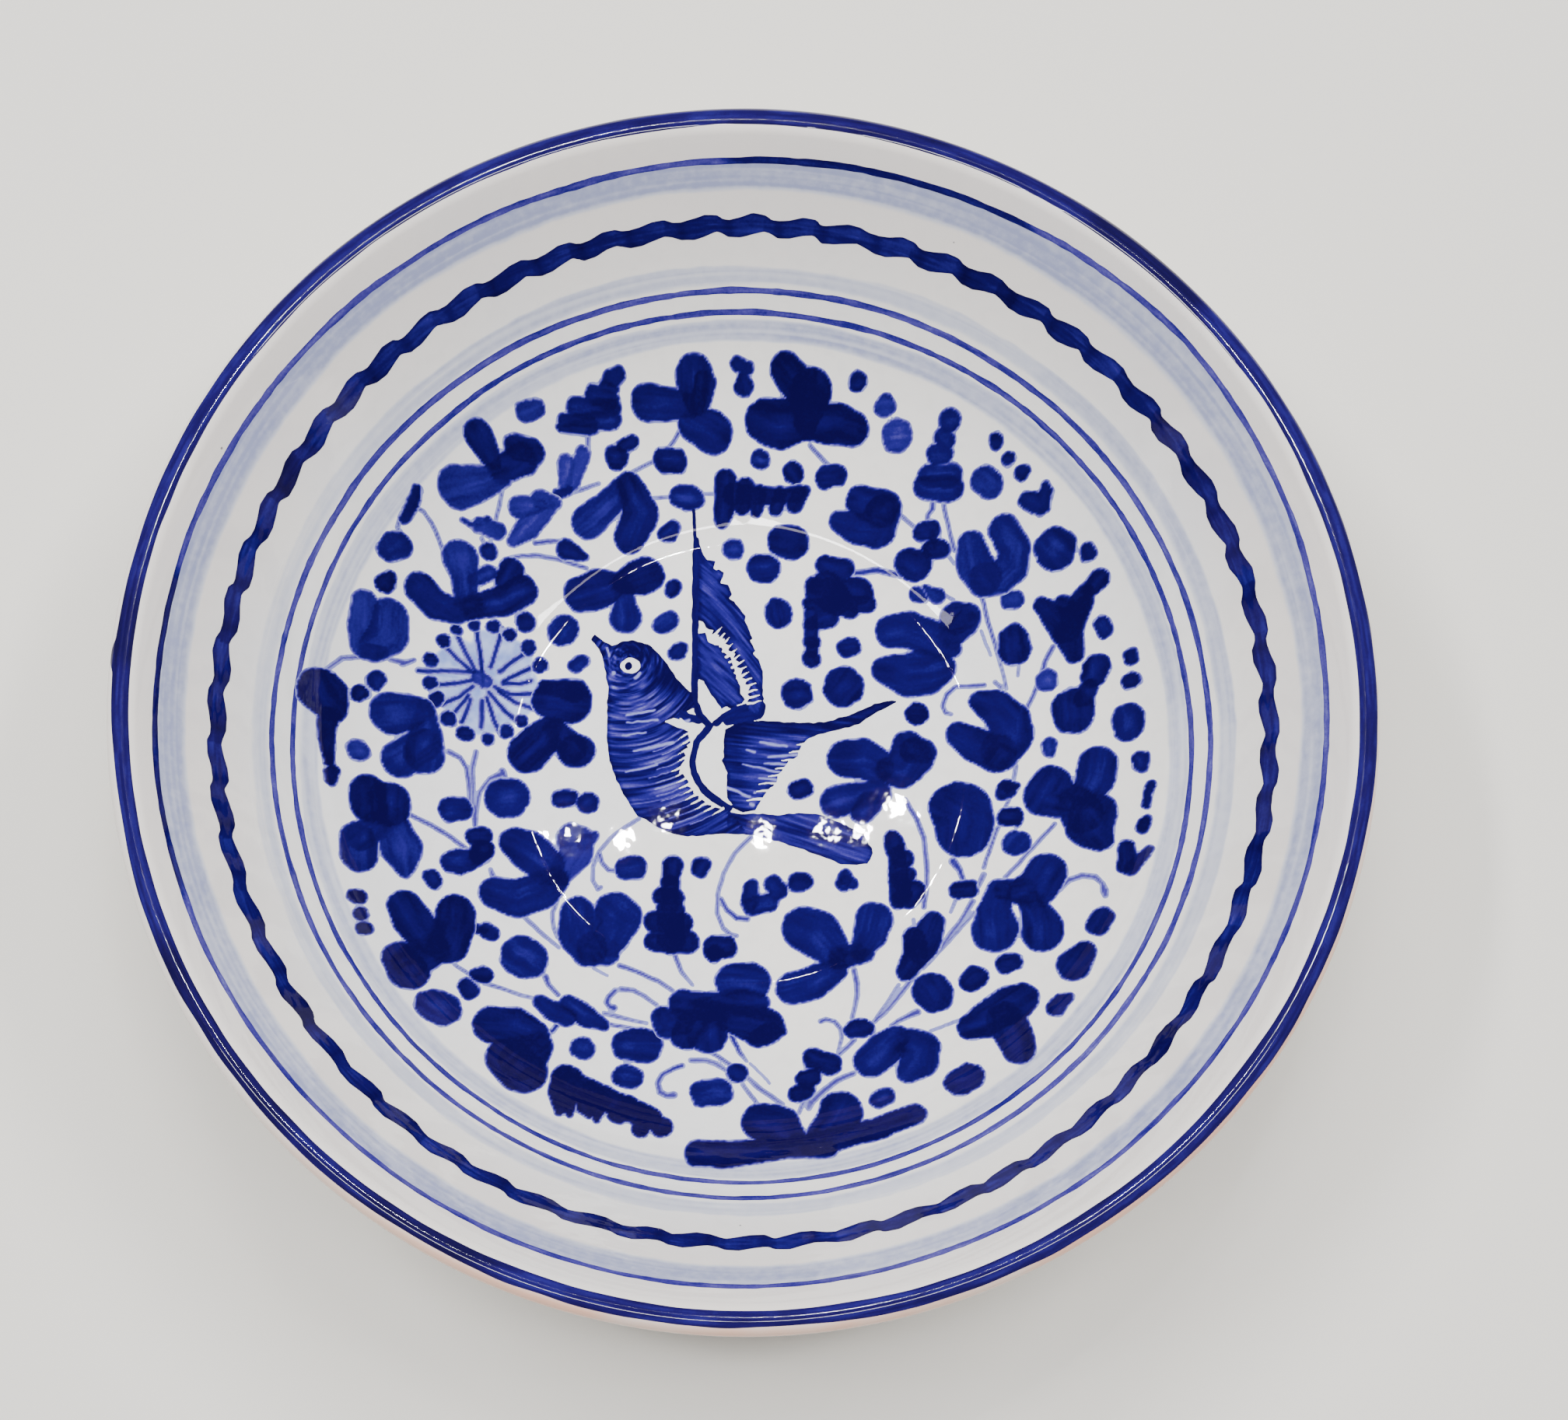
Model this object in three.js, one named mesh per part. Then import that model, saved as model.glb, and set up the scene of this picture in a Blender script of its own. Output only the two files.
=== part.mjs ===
// A deep hand painted earthenware bowl, 300 mm across: a thrown clay body on a turned foot ring,
// dipped in white tin glaze and painted inside with bands of cobalt and a bird.
// Millimetres, +Z up, the origin on the table at the middle of the foot.
import * as THREE from "three";

// ---- Driving dimensions ----
const DIAMETER = 300; // across the widest part of the lip
const HEIGHT = 84; // from the table to the crest of the lip
const WALL = 7.5; // glazed thickness of the wall
const FLOOR_THICKNESS = 8; // glazed thickness of the floor
const FLOOR_RADIUS = 57; // the flat part of the floor inside
const CREASE_RADIUS = 24; // the soft bend where the floor turns up into the wall
const CREASE_SLOPE = 17; // degrees, slope of the wall just above the crease
const WALL_SLOPE = 54; // degrees, slope of the wall just below the lip
const BELLY_FULLNESS = 0.85; // how far the wall bellies out between those two slopes, 0 to 1
const LIP_INNER_RADIUS = 5; // the lip's rounding on its inner side

const FOOT_HEIGHT = 5; // depth of the hollow under the floor
const FOOT_BEYOND_FLOOR = 5; // the foot's outside, out from the edge of the flat floor
const FOOT_WIDTH = 9.5; // the foot ring's thickness where it joins the floor
const FOOT_TAPER = 1; // how much each side of the foot ring draws in towards the table
const FOOT_CHAMFER = 0.8; // the wiped edge that it stands on

const GLAZE = 0.4; // thickness of the fired glaze
const SEAT = 0.005; // clearance between the clay and what is bonded to it
const GLAZE_STOP = 1.5; // bare clay between the table and the glaze on the foot
const PAINT = 0.12; // thickness of a painted layer

// Painted bands, each as [inset of its outer edge from the widest part of the lip, width].
const RIM_BAND = [1.9, 3.3];
const OUTER_LINE = [11, 0.8];
const OUTER_WASH = [12, 4.6];
const WAVE_BAND = [20.7, 4.3];
const UPPER_WASH = [29.6, 3.9];
const UPPER_LINE = [33.9, 0.9];
const LOWER_LINE = [38.1, 0.9];
const INNER_WASH = [39.6, 4.8];
const BIRD_MARGIN = 3; // flat floor left free beyond the bird's wing tips

const TURN_STEPS = 60; // facets round the bowl
const WALL_STEPS = 6;
const LIP_STEPS = 4;
const CREASE_STEPS = 2;

// ---- Derived sizes ----
const RIM_RADIUS = DIAMETER / 2;
const FLOOR_TOP = FOOT_HEIGHT + FLOOR_THICKNESS;
const CREASE_TURN = THREE.MathUtils.degToRad(CREASE_SLOPE);
const WALL_TURN = THREE.MathUtils.degToRad(WALL_SLOPE);
const LIP_OUTER_RADIUS = (WALL - LIP_INNER_RADIUS * (1 - Math.cos(WALL_TURN))) / (1 + Math.cos(WALL_TURN));
const CREST_RADIUS = RIM_RADIUS - LIP_OUTER_RADIUS;
const FOOT_OUTER = FLOOR_RADIUS + FOOT_BEYOND_FLOOR;
const FOOT_INNER = FOOT_OUTER - FOOT_WIDTH;

// ---- Materials ----
function finish(color, roughness) {
  return new THREE.MeshStandardMaterial({ color, roughness, metalness: 0 });
}

const terracotta = finish(0xc08a68, 0.9);
const whiteGlaze = finish(0xe6e3de, 0.12);
const cobalt = finish(0x18207a, 0.15);
const paleBlue = finish(0xb4bfdc, 0.12);

// ---- The bowl's section ----
// A point on the section is [radius, height].

function onArc(centre, radius, angle) {
  return [centre[0] + radius * Math.cos(angle), centre[1] + radius * Math.sin(angle)];
}

function arc(centre, radius, from, to, steps) {
  const points = [];
  for (let i = 0; i <= steps; i += 1) {
    points.push(onArc(centre, radius, from + ((to - from) * i) / steps));
  }
  return points;
}

// The inner wall is one curve from the top of the crease to the foot of the lip. It leaves the
// first along CREASE_SLOPE and reaches the second along WALL_SLOPE.
const creaseCentre = [FLOOR_RADIUS, FLOOR_TOP + CREASE_RADIUS];
const lipInnerCentre = [CREST_RADIUS, HEIGHT - LIP_INNER_RADIUS];
const lipOuterCentre = [CREST_RADIUS, HEIGHT - LIP_OUTER_RADIUS];
const wallStart = onArc(creaseCentre, CREASE_RADIUS, CREASE_TURN - Math.PI / 2);
const wallEnd = onArc(lipInnerCentre, LIP_INNER_RADIUS, Math.PI / 2 + WALL_TURN);
const startSlope = Math.tan(CREASE_TURN);
const endSlope = Math.tan(WALL_TURN);
const cornerRadius =
  (wallStart[1] - wallEnd[1] - startSlope * wallStart[0] + endSlope * wallEnd[0]) / (endSlope - startSlope);
const corner = [cornerRadius, wallStart[1] + startSlope * (cornerRadius - wallStart[0])];
const wallCurve = new THREE.CubicBezierCurve(
  new THREE.Vector2(...wallStart),
  new THREE.Vector2(...wallStart).lerp(new THREE.Vector2(...corner), BELLY_FULLNESS),
  new THREE.Vector2(...wallEnd).lerp(new THREE.Vector2(...corner), BELLY_FULLNESS),
  new THREE.Vector2(...wallEnd),
);

// The wall moved by a distance into the clay, square to its face.
function wallPoints(depth) {
  const points = [];
  for (let i = 0; i <= WALL_STEPS; i += 1) {
    const place = wallCurve.getPoint(i / WALL_STEPS);
    const along = wallCurve.getTangent(i / WALL_STEPS);
    points.push([place.x + depth * along.y, place.y - depth * along.x]);
  }
  return points;
}

// The face inside the bowl, from its axis out to the crest of the lip, at a depth below the glaze.
function innerFace(depth) {
  const crease = arc(creaseCentre, CREASE_RADIUS + depth, -Math.PI / 2, CREASE_TURN - Math.PI / 2, CREASE_STEPS);
  const lip = arc(lipInnerCentre, LIP_INNER_RADIUS - depth, Math.PI / 2 + WALL_TURN, Math.PI / 2, LIP_STEPS);
  return [[0, FLOOR_TOP - depth], ...crease.slice(0, -1), ...wallPoints(depth), ...lip.slice(1)];
}

// The face outside, from the crest of the lip down to the corner where the foot begins.
function outerFace(depth) {
  const lip = arc(lipOuterCentre, LIP_OUTER_RADIUS - depth, Math.PI / 2, WALL_TURN - Math.PI / 2, LIP_STEPS);
  const wall = wallPoints(WALL - depth).reverse();
  return [...lip, ...wall.slice(1), [FOOT_OUTER - depth, FOOT_HEIGHT + depth]];
}

// The foot ring's side at a height, in bare clay. Both sides draw in towards the table.
const FOOT_TOP = FOOT_HEIGHT + GLAZE;
function footOutside(height) {
  return [FOOT_OUTER - GLAZE - FOOT_TAPER * (1 - height / FOOT_TOP), height];
}
function footInside(height) {
  return [FOOT_INNER + FOOT_TAPER * (1 - height / FOOT_TOP), height];
}

// ---- Solids ----
const bowl = new THREE.Group();

// A turned solid. Its outline runs once round the section, anticlockwise seen with the axis on the left.
function turned(name, outline, material) {
  const closed = outline[0][0] === 0 ? outline : [...outline, outline[0]];
  const profile = closed.map((point) => new THREE.Vector2(...point));
  const geometry = new THREE.LatheGeometry(profile, TURN_STEPS);
  geometry.rotateX(Math.PI / 2);
  const mesh = new THREE.Mesh(geometry, material);
  mesh.name = name;
  bowl.add(mesh);
}

function clayBody() {
  const outside = outerFace(GLAZE + SEAT).reverse();
  const inside = innerFace(GLAZE + SEAT).reverse();
  turned("clay_body", [[0, FOOT_TOP + SEAT], ...outside, ...inside.slice(1)], terracotta);
}

function footRing() {
  const outline = [
    footInside(FOOT_TOP),
    footInside(FOOT_HEIGHT),
    footInside(FOOT_CHAMFER),
    [footInside(0)[0] + FOOT_CHAMFER, 0],
    [footOutside(0)[0] - FOOT_CHAMFER, 0],
    footOutside(FOOT_CHAMFER),
    footOutside(GLAZE_STOP),
    footOutside(FOOT_TOP),
  ];
  turned("foot_ring", outline, terracotta);
}

function glazeInside() {
  turned("glaze_inside", [...innerFace(GLAZE), ...innerFace(0).reverse()], whiteGlaze);
}

// The glaze outside starts on the crest, where the glaze inside ends, and stops above the table.
function glazeOutside() {
  const edge = footOutside(GLAZE_STOP);
  const face = [...outerFace(0), [edge[0] + GLAZE, GLAZE_STOP]];
  turned("glaze_outside", [...face.reverse(), ...outerFace(GLAZE), edge], whiteGlaze);
}

function glazeBase() {
  const outline = [[0, FOOT_HEIGHT], footInside(FOOT_HEIGHT), footInside(FOOT_TOP), [0, FOOT_TOP]];
  turned("glaze_base", outline, whiteGlaze);
}

// ---- Painted bands ----
const glazedSection = [...innerFace(0), ...outerFace(0).slice(1)];

// The stretch of the glazed section between two radii on the way up the inside and over the crest.
function sectionBetween(from, to) {
  const stretch = [];
  for (let i = 1; i < glazedSection.length; i += 1) {
    const [r0, z0] = glazedSection[i - 1];
    const [r1, z1] = glazedSection[i];
    if (r1 <= r0) {
      break;
    }
    for (const edge of [from, to]) {
      if (r0 < edge && edge < r1) {
        stretch.push([edge, z0 + ((z1 - z0) * (edge - r0)) / (r1 - r0)]);
      }
    }
    if (from <= r1 && r1 <= to) {
      stretch.push([r1, z1]);
    }
  }
  return stretch;
}

function paintedBand(name, [inset, width], material) {
  const under = sectionBetween(RIM_RADIUS - inset - width, RIM_RADIUS - inset);
  const over = under.map(([radius, height]) => [radius, height + PAINT]);
  turned(name, [...under, ...over.reverse()], material);
}

// ---- The bird ----
// A swallow seen from its left, wings raised, as [x, y] in its own units about the middle of the floor.
const BIRD_OUTLINE = [
  [-39, 31.5], [-35, 29.5], [-31, 30.5], [-27, 30], [-22, 26], [-15, 18], [-9, 9],
  [-5, 12], [-10.5, 20], [-12, 30], [-11.5, 52], [-7, 50], [-3, 43], [2, 34], [5, 22], [4.5, 11],
  [18, 8], [30, 11], [39, 15], [31, 9], [16, 4], [12, -3], [8, -8], [3, -14],
  [16, -15], [26, -17], [31, -21], [32, -27], [20, -24], [8, -19],
  [-4, -20], [-17, -19.5], [-26, -16], [-32, -7], [-34.5, 5], [-34, 17], [-35.5, 26],
];

function bird() {
  const reach = Math.max(...BIRD_OUTLINE.map(([x, y]) => Math.hypot(x, y)));
  const scale = (FLOOR_RADIUS * Math.cos(Math.PI / TURN_STEPS) - BIRD_MARGIN) / reach;
  const outline = BIRD_OUTLINE.map(([x, y]) => new THREE.Vector2(x * scale, y * scale));
  const silhouette = new THREE.Shape(outline);
  const geometry = new THREE.ExtrudeGeometry(silhouette, { depth: PAINT, bevelEnabled: false });
  const mesh = new THREE.Mesh(geometry, cobalt);
  mesh.name = "bird";
  mesh.position.z = FLOOR_TOP;
  bowl.add(mesh);
}

clayBody();
footRing();
glazeInside();
glazeOutside();
glazeBase();
paintedBand("rim_band", RIM_BAND, cobalt);
paintedBand("outer_line", OUTER_LINE, cobalt);
paintedBand("outer_wash", OUTER_WASH, paleBlue);
paintedBand("wave_band", WAVE_BAND, cobalt);
paintedBand("upper_wash", UPPER_WASH, paleBlue);
paintedBand("upper_line", UPPER_LINE, cobalt);
paintedBand("lower_line", LOWER_LINE, cobalt);
paintedBand("inner_wash", INNER_WASH, paleBlue);
bird();

export default bowl;
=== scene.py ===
# %% [markdown]
# A hand painted earthenware bowl. The potter threw a red clay body and turned a foot ring under it,
# dipped it in white tin glaze, and painted bands, a bird and leaves on the inside in cobalt, which the
# second firing melted into the glaze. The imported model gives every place, so it is loaded first.

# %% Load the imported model
import math

import bpy
import numpy as np
from mathutils import Matrix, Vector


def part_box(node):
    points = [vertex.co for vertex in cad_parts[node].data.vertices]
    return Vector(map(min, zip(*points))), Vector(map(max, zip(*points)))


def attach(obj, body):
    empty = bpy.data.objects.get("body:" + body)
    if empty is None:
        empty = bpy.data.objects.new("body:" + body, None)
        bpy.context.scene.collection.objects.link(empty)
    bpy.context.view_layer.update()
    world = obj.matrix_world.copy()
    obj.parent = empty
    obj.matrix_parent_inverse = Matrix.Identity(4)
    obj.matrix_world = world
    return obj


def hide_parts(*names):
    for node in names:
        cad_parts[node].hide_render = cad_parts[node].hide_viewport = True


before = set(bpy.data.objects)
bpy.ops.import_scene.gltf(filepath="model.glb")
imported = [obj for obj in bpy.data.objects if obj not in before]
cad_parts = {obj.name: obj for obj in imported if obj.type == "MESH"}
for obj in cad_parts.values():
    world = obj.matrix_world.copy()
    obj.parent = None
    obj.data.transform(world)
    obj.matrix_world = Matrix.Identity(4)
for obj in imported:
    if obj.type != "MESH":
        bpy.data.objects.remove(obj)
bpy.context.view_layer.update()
MM = 0.001


def top_of(node):
    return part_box(node)[1].z / MM


print("nodes:", sorted(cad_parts))

# %% [markdown]
# The bowl's section decides how light runs over the glaze, so it is drawn as smooth curves: a flat
# floor, a soft crease, one long swelling wall and a rolled lip. A point on it is (radius, height) in
# millimetres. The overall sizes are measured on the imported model.

# %% The section's curves
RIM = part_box("glaze_outside")[1].x / MM
HEIGHT = top_of("glaze_inside")
WALL, GLAZE = 7.5, 0.4  # the wall's thickness, and one coat of glaze
SEAT = 0.005  # a hair between the clay and its glaze, so they share no face
FLOOR_RADIUS, FLOOR_TOP = 57.0, 13.0
CREASE_RADIUS, CREASE_TURN = 24.0, math.radians(17)  # the bend from the floor into the wall
WALL_TURN, FULLNESS = math.radians(54), 0.85  # how steep the wall ends, and how far it swells
LIP_INNER = 5.0
FOOT_HEIGHT, FOOT_OUTER, FOOT_WIDTH = 5.0, 62.0, 9.5
LIP_OUTER = (WALL - LIP_INNER * (1 - math.cos(WALL_TURN))) / (1 + math.cos(WALL_TURN))
CREST = RIM - LIP_OUTER


def arc(centre, radius, start, end, steps):
    angle = np.linspace(start, end, steps + 1)
    return np.stack([centre[0] + radius * np.cos(angle), centre[1] + radius * np.sin(angle)], 1)


crease_centre = (FLOOR_RADIUS, FLOOR_TOP + CREASE_RADIUS)
lip_inner_centre = (CREST, HEIGHT - LIP_INNER)
lip_outer_centre = (CREST, HEIGHT - LIP_OUTER)
wall_start = arc(crease_centre, CREASE_RADIUS, CREASE_TURN - math.pi / 2, 0, 1)[0]
wall_end = arc(lip_inner_centre, LIP_INNER, math.pi / 2 + WALL_TURN, 0, 1)[0]
start_slope, end_slope = math.tan(CREASE_TURN), math.tan(WALL_TURN)
corner_radius = (
    (wall_start[1] - wall_end[1] - start_slope * wall_start[0] + end_slope * wall_end[0])
    / (end_slope - start_slope)
)
corner = np.array([corner_radius, wall_start[1] + start_slope * (corner_radius - wall_start[0])])


def wall_face(depth, steps=44):
    """The wall's curve, moved into the clay by a depth, square to its face."""
    t = np.linspace(0, 1, steps + 1)[:, None]
    a = wall_start + (corner - wall_start) * FULLNESS
    b = wall_end + (corner - wall_end) * FULLNESS
    place = (1 - t) ** 3 * wall_start + 3 * (1 - t) ** 2 * t * a + 3 * (1 - t) * t**2 * b + t**3 * wall_end
    along = 3 * (1 - t) ** 2 * (a - wall_start) + 6 * (1 - t) * t * (b - a) + 3 * t**2 * (wall_end - b)
    along /= np.linalg.norm(along, axis=1)[:, None]
    return place + depth * np.stack([along[:, 1], -along[:, 0]], 1)


def inner_face(depth):
    floor = [(r, FLOOR_TOP - depth) for r in (0, 14, 28, 42)]
    crease = arc(crease_centre, CREASE_RADIUS + depth, -math.pi / 2, CREASE_TURN - math.pi / 2, 8)
    lip = arc(lip_inner_centre, LIP_INNER - depth, math.pi / 2 + WALL_TURN, math.pi / 2, 10)
    return np.vstack([floor, crease[:-1], wall_face(depth), lip[1:]])


def outer_face(depth):
    lip = arc(lip_outer_centre, LIP_OUTER - depth, math.pi / 2, WALL_TURN - math.pi / 2, 14)
    return np.vstack([lip, wall_face(WALL - depth)[::-1][1:], [(FOOT_OUTER - depth, FOOT_HEIGHT + depth)]])


print("lip crest at", round(CREST, 2), "mm; wall runs from", wall_start.round(1), "to", wall_end.round(1))

# %% [markdown]
# A wheel makes round things, and Blender's Spin is its wheel. A circle primitive gives a closed loop
# with the right number of points, the loop is laid along the section's outline, and Spin carries it
# round the axis. The doubles at the seam and the axis are merged, and the faces turned outwards.

# %% Throw a turned solid
TURNS = 288


def deselect_all():
    if bpy.context.object and bpy.context.object.mode != "OBJECT":
        bpy.ops.object.mode_set(mode="OBJECT")
    bpy.ops.object.select_all(action="DESELECT")


def finish_piece(piece, name, material, slot, *nodes):
    piece.name = piece.data.name = name
    piece.data.materials.clear()
    piece.data.materials.append(material)
    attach(piece, "root")
    if nodes:
        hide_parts(*nodes)
    print(f"{name}: {len(piece.data.vertices)} points, {len(piece.data.polygons)} faces")
    return piece


def thrown(outline):
    deselect_all()
    bpy.ops.mesh.primitive_circle_add(vertices=len(outline), radius=0.01)
    piece = bpy.context.object
    for vertex, (radius, height) in zip(piece.data.vertices, outline):
        vertex.co = (radius * MM, 0, height * MM)
    bpy.ops.object.mode_set(mode="EDIT")
    bpy.ops.mesh.select_all(action="SELECT")
    bpy.ops.mesh.spin(steps=TURNS, angle=2 * math.pi, center=(0, 0, 0), axis=(0, 0, 1))
    bpy.ops.mesh.select_all(action="SELECT")
    bpy.ops.mesh.remove_doubles(threshold=2e-6)
    bpy.ops.mesh.delete_loose()
    bpy.ops.mesh.select_all(action="SELECT")
    bpy.ops.mesh.normals_make_consistent(inside=False)
    bpy.ops.object.mode_set(mode="OBJECT")
    bpy.ops.object.shade_smooth_by_angle(angle=math.radians(40))
    return piece


# %% [markdown]
# Every finish shares small effects, so each is a node group: kiln specks that lie in the glaze, the
# potter's faint throwing rings, and streaks that run round the bowl as a banding wheel leaves them.

# %% Node helpers: make a group, make a node
def new_group(name, inputs, outputs):
    group = bpy.data.node_groups.new(name, "ShaderNodeTree")
    for label, kind, value in inputs:
        socket = group.interface.new_socket(label, in_out="INPUT", socket_type=kind)
        socket.default_value = value
    for label, kind in outputs:
        group.interface.new_socket(label, in_out="OUTPUT", socket_type=kind)
    return group, group.nodes.new("NodeGroupInput"), group.nodes.new("NodeGroupOutput")


def node(tree, kind, links=(), **settings):
    made = tree.nodes.new(kind)
    for key, value in settings.items():
        setattr(made, key, value)
    for socket, source in links:
        if isinstance(source, bpy.types.NodeSocket):
            tree.links.new(source, made.inputs[socket])
        else:
            made.inputs[socket].default_value = source
    return made


def maths(tree, operation, a, b=0.0, c=None, clamp=False):
    links = [(0, a), (1, b)] + ([(2, c)] if c is not None else [])
    return node(tree, "ShaderNodeMath", links, operation=operation, use_clamp=clamp).outputs[0]


def blend_colours(tree, factor, a, b):
    made = node(tree, "ShaderNodeMix", data_type="RGBA")
    for index, source in ((0, factor), (6, a), (7, b)):
        if isinstance(source, bpy.types.NodeSocket):
            tree.links.new(source, made.inputs[index])
        else:
            made.inputs[index].default_value = source
    return made.outputs[2]


def place_on_bowl(tree):
    """The place of a point, its x and y, and how far it lies from the axis, in metres."""
    where = node(tree, "ShaderNodeTexCoord").outputs["Object"]
    x, y = (node(tree, "ShaderNodeSeparateXYZ", [(0, where)]).outputs[i] for i in range(2))
    squares = maths(tree, "ADD", maths(tree, "MULTIPLY", x, x), maths(tree, "MULTIPLY", y, y))
    return where, x, y, maths(tree, "SQRT", squares)


def ramp(tree, source, low, high):
    """0 below low, 1 above high, and smooth between them."""
    made = node(
        tree, "ShaderNodeMapRange", [(0, source), (1, low), (2, high)], interpolation_type="SMOOTHSTEP"
    )
    return made.outputs[0]


def colour(r, g, b):
    """A colour given as 0 to 255, turned into linear light."""
    return tuple(((c / 255 + 0.055) / 1.055) ** 2.4 if c > 10 else c / 255 / 12.92 for c in (r, g, b)) + (1,)


# %% Kiln specks: small grey iron spots, a few to the hand's breadth
def speck_group():
    group, given, out = new_group(
        "kiln_specks", [("Amount", "NodeSocketFloat", 1.0)], [("Mask", "NodeSocketFloat")]
    )
    where = node(group, "ShaderNodeTexCoord").outputs["Object"]
    cells = node(group, "ShaderNodeTexVoronoi", [("Vector", where), ("Scale", 95.0)], feature="F1")
    drawn = node(group, "ShaderNodeSeparateColor", [(0, cells.outputs["Color"])])
    chosen = maths(group, "GREATER_THAN", drawn.outputs[0], 0.9)  # one cell in ten holds a speck
    size = maths(group, "MULTIPLY", drawn.outputs[1], 0.028)
    near = maths(group, "SUBTRACT", maths(group, "ADD", size, 0.022), cells.outputs["Distance"])
    dot = ramp(group, near, 0.0, 0.018)
    mask = maths(group, "MULTIPLY", maths(group, "MULTIPLY", dot, chosen), given.outputs["Amount"])
    group.links.new(mask, out.inputs["Mask"])
    return group


specks = speck_group()
print("kiln specks:", len(specks.nodes), "nodes")


# %% Throwing rings and glaze ripple: a height that a Bump node reads
def ripple_group():
    group, given, out = new_group(
        "glaze_ripple",
        [("Rings", "NodeSocketFloat", 1.0), ("Peel", "NodeSocketFloat", 1.0)],
        [("Height", "NodeSocketFloat")],
    )
    where, x, y, radius = place_on_bowl(group)
    stretched = [(0, radius, 9.0), (1, x, 0.9), (2, y, 0.9)]  # close rings, nearly even all the way round
    flat = node(
        group,
        "ShaderNodeCombineXYZ",
        [(socket, maths(group, "MULTIPLY", value, scale)) for socket, value, scale in stretched],
    )
    rings = node(
        group,
        "ShaderNodeTexNoise",
        [("Vector", flat.outputs[0]), ("Scale", 12.0), ("Detail", 1.5), ("Roughness", 0.4)],
    )
    peel = node(group, "ShaderNodeTexNoise", [("Vector", where), ("Scale", 260.0), ("Detail", 1.5)])
    soft = node(group, "ShaderNodeTexNoise", [("Vector", where), ("Scale", 22.0), ("Detail", 1.0)])
    fine = maths(
        group,
        "MULTIPLY",
        maths(group, "ADD", maths(group, "MULTIPLY", peel.outputs[0], 0.15), soft.outputs[0]),
        given.outputs["Peel"],
    )
    height = maths(group, "ADD", maths(group, "MULTIPLY", rings.outputs[0], given.outputs["Rings"]), fine)
    group.links.new(height, out.inputs["Height"])
    return group


ripple = ripple_group()
print("glaze ripple:", len(ripple.nodes), "nodes")


# %% [markdown]
# Tin glaze is never one flat white. It clouds warm and cool as its thickness changes, it is warmer on
# the wall than on the floor, and where it runs thin over the lip the red clay shows through as pink.
# Noise and the distance from the axis give all of these, so nothing has to be painted by hand.

# %% The white glaze's colour: warm and cool clouds, thin and pink over clay at the lip
def white_group():
    inputs = [("Thin", "NodeSocketFloat", 1.0)]
    group, given, out = new_group(
        "tin_glaze_colour", inputs, [("Color", "NodeSocketColor"), ("Roughness", "NodeSocketFloat")]
    )
    where, x, y, radius = place_on_bowl(group)
    clouds = node(group, "ShaderNodeTexNoise", [("Vector", where), ("Scale", 14.0), ("Detail", 3.0)])
    base = blend_colours(group, ramp(group, clouds.outputs[0], 0.35, 0.65), WHITE_COOL, WHITE_WARM)
    mottle = node(group, "ShaderNodeTexNoise", [("Vector", where), ("Scale", 260.0), ("Detail", 2.0)])
    base = blend_colours(
        group, maths(group, "MULTIPLY", ramp(group, mottle.outputs[0], 0.45, 0.75), 0.18), base, WHITE_SHADE
    )
    wall = maths(group, "MULTIPLY", ramp(group, radius, *WALL_TONE), 0.55)
    base = blend_colours(group, wall, base, WHITE_WALL)
    lip = ramp(group, radius, *LIP_THIN)
    side = ramp(group, maths(group, "SUBTRACT", maths(group, "MULTIPLY", x, 0.35), y), 0.02, 0.14)
    patch = node(group, "ShaderNodeTexNoise", [("Vector", where), ("Scale", 30.0), ("Detail", 2.0)])
    thin = maths(
        group, "MULTIPLY", maths(group, "MULTIPLY", lip, side), ramp(group, patch.outputs[0], 0.22, 0.52)
    )
    base = blend_colours(group, maths(group, "MULTIPLY", thin, given.outputs["Thin"]), base, WHITE_PINK)
    group.links.new(base, out.inputs["Color"])
    rough = maths(group, "ADD", maths(group, "MULTIPLY", clouds.outputs[0], 0.02), 0.004)
    group.links.new(rough, out.inputs["Roughness"])
    return group


WALL_TONE = (0.112, 0.136)  # metres from the axis, where the wall's warmer white comes in
LIP_THIN = (0.1462, 0.1494)  # and where the glaze grows thin on the lip
WHITE_WARM = colour(238, 235, 230)
WHITE_COOL = colour(231, 231, 231)
WHITE_SHADE = colour(214, 212, 209)
WHITE_PINK = colour(236, 184, 158)
WHITE_WALL = colour(231, 221, 214)
white_colour = white_group()
print("white glaze's colour:", len(white_colour.nodes), "nodes")


# %% [markdown]
# A fired glaze is a glass, so its material needs little: a colour, a low roughness and a hint of
# ripple. The ripple is a Bump, which bends the light without moving the surface, as the real ripple
# is far finer than the mesh.

# %% Materials: the glaze itself
def put_group(tree, group, **values):
    made = tree.nodes.new("ShaderNodeGroup")
    made.node_tree = group
    for key, value in values.items():
        if isinstance(value, bpy.types.NodeSocket):
            tree.links.new(value, made.inputs[key])
        else:
            made.inputs[key].default_value = value
    return made


def new_material(name, roughness):
    material = bpy.data.materials.new(name)
    material.use_nodes = True
    tree = material.node_tree
    shader = tree.nodes["Principled BSDF"]
    shader.inputs["Roughness"].default_value = roughness
    shader.inputs["IOR"].default_value = 1.5
    return material, tree, shader


def add_bump(tree, shader, height, distance):
    bump = node(tree, "ShaderNodeBump", [("Strength", 1.0), ("Distance", distance), ("Height", height)])
    tree.links.new(bump.outputs[0], shader.inputs["Normal"])


RIPPLE_HEIGHT = 0.00012  # metres


def add_ripple(tree, shader, peel=0.5):
    add_bump(tree, shader, put_group(tree, ripple, Rings=0.18, Peel=peel).outputs[0], RIPPLE_HEIGHT)


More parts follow.
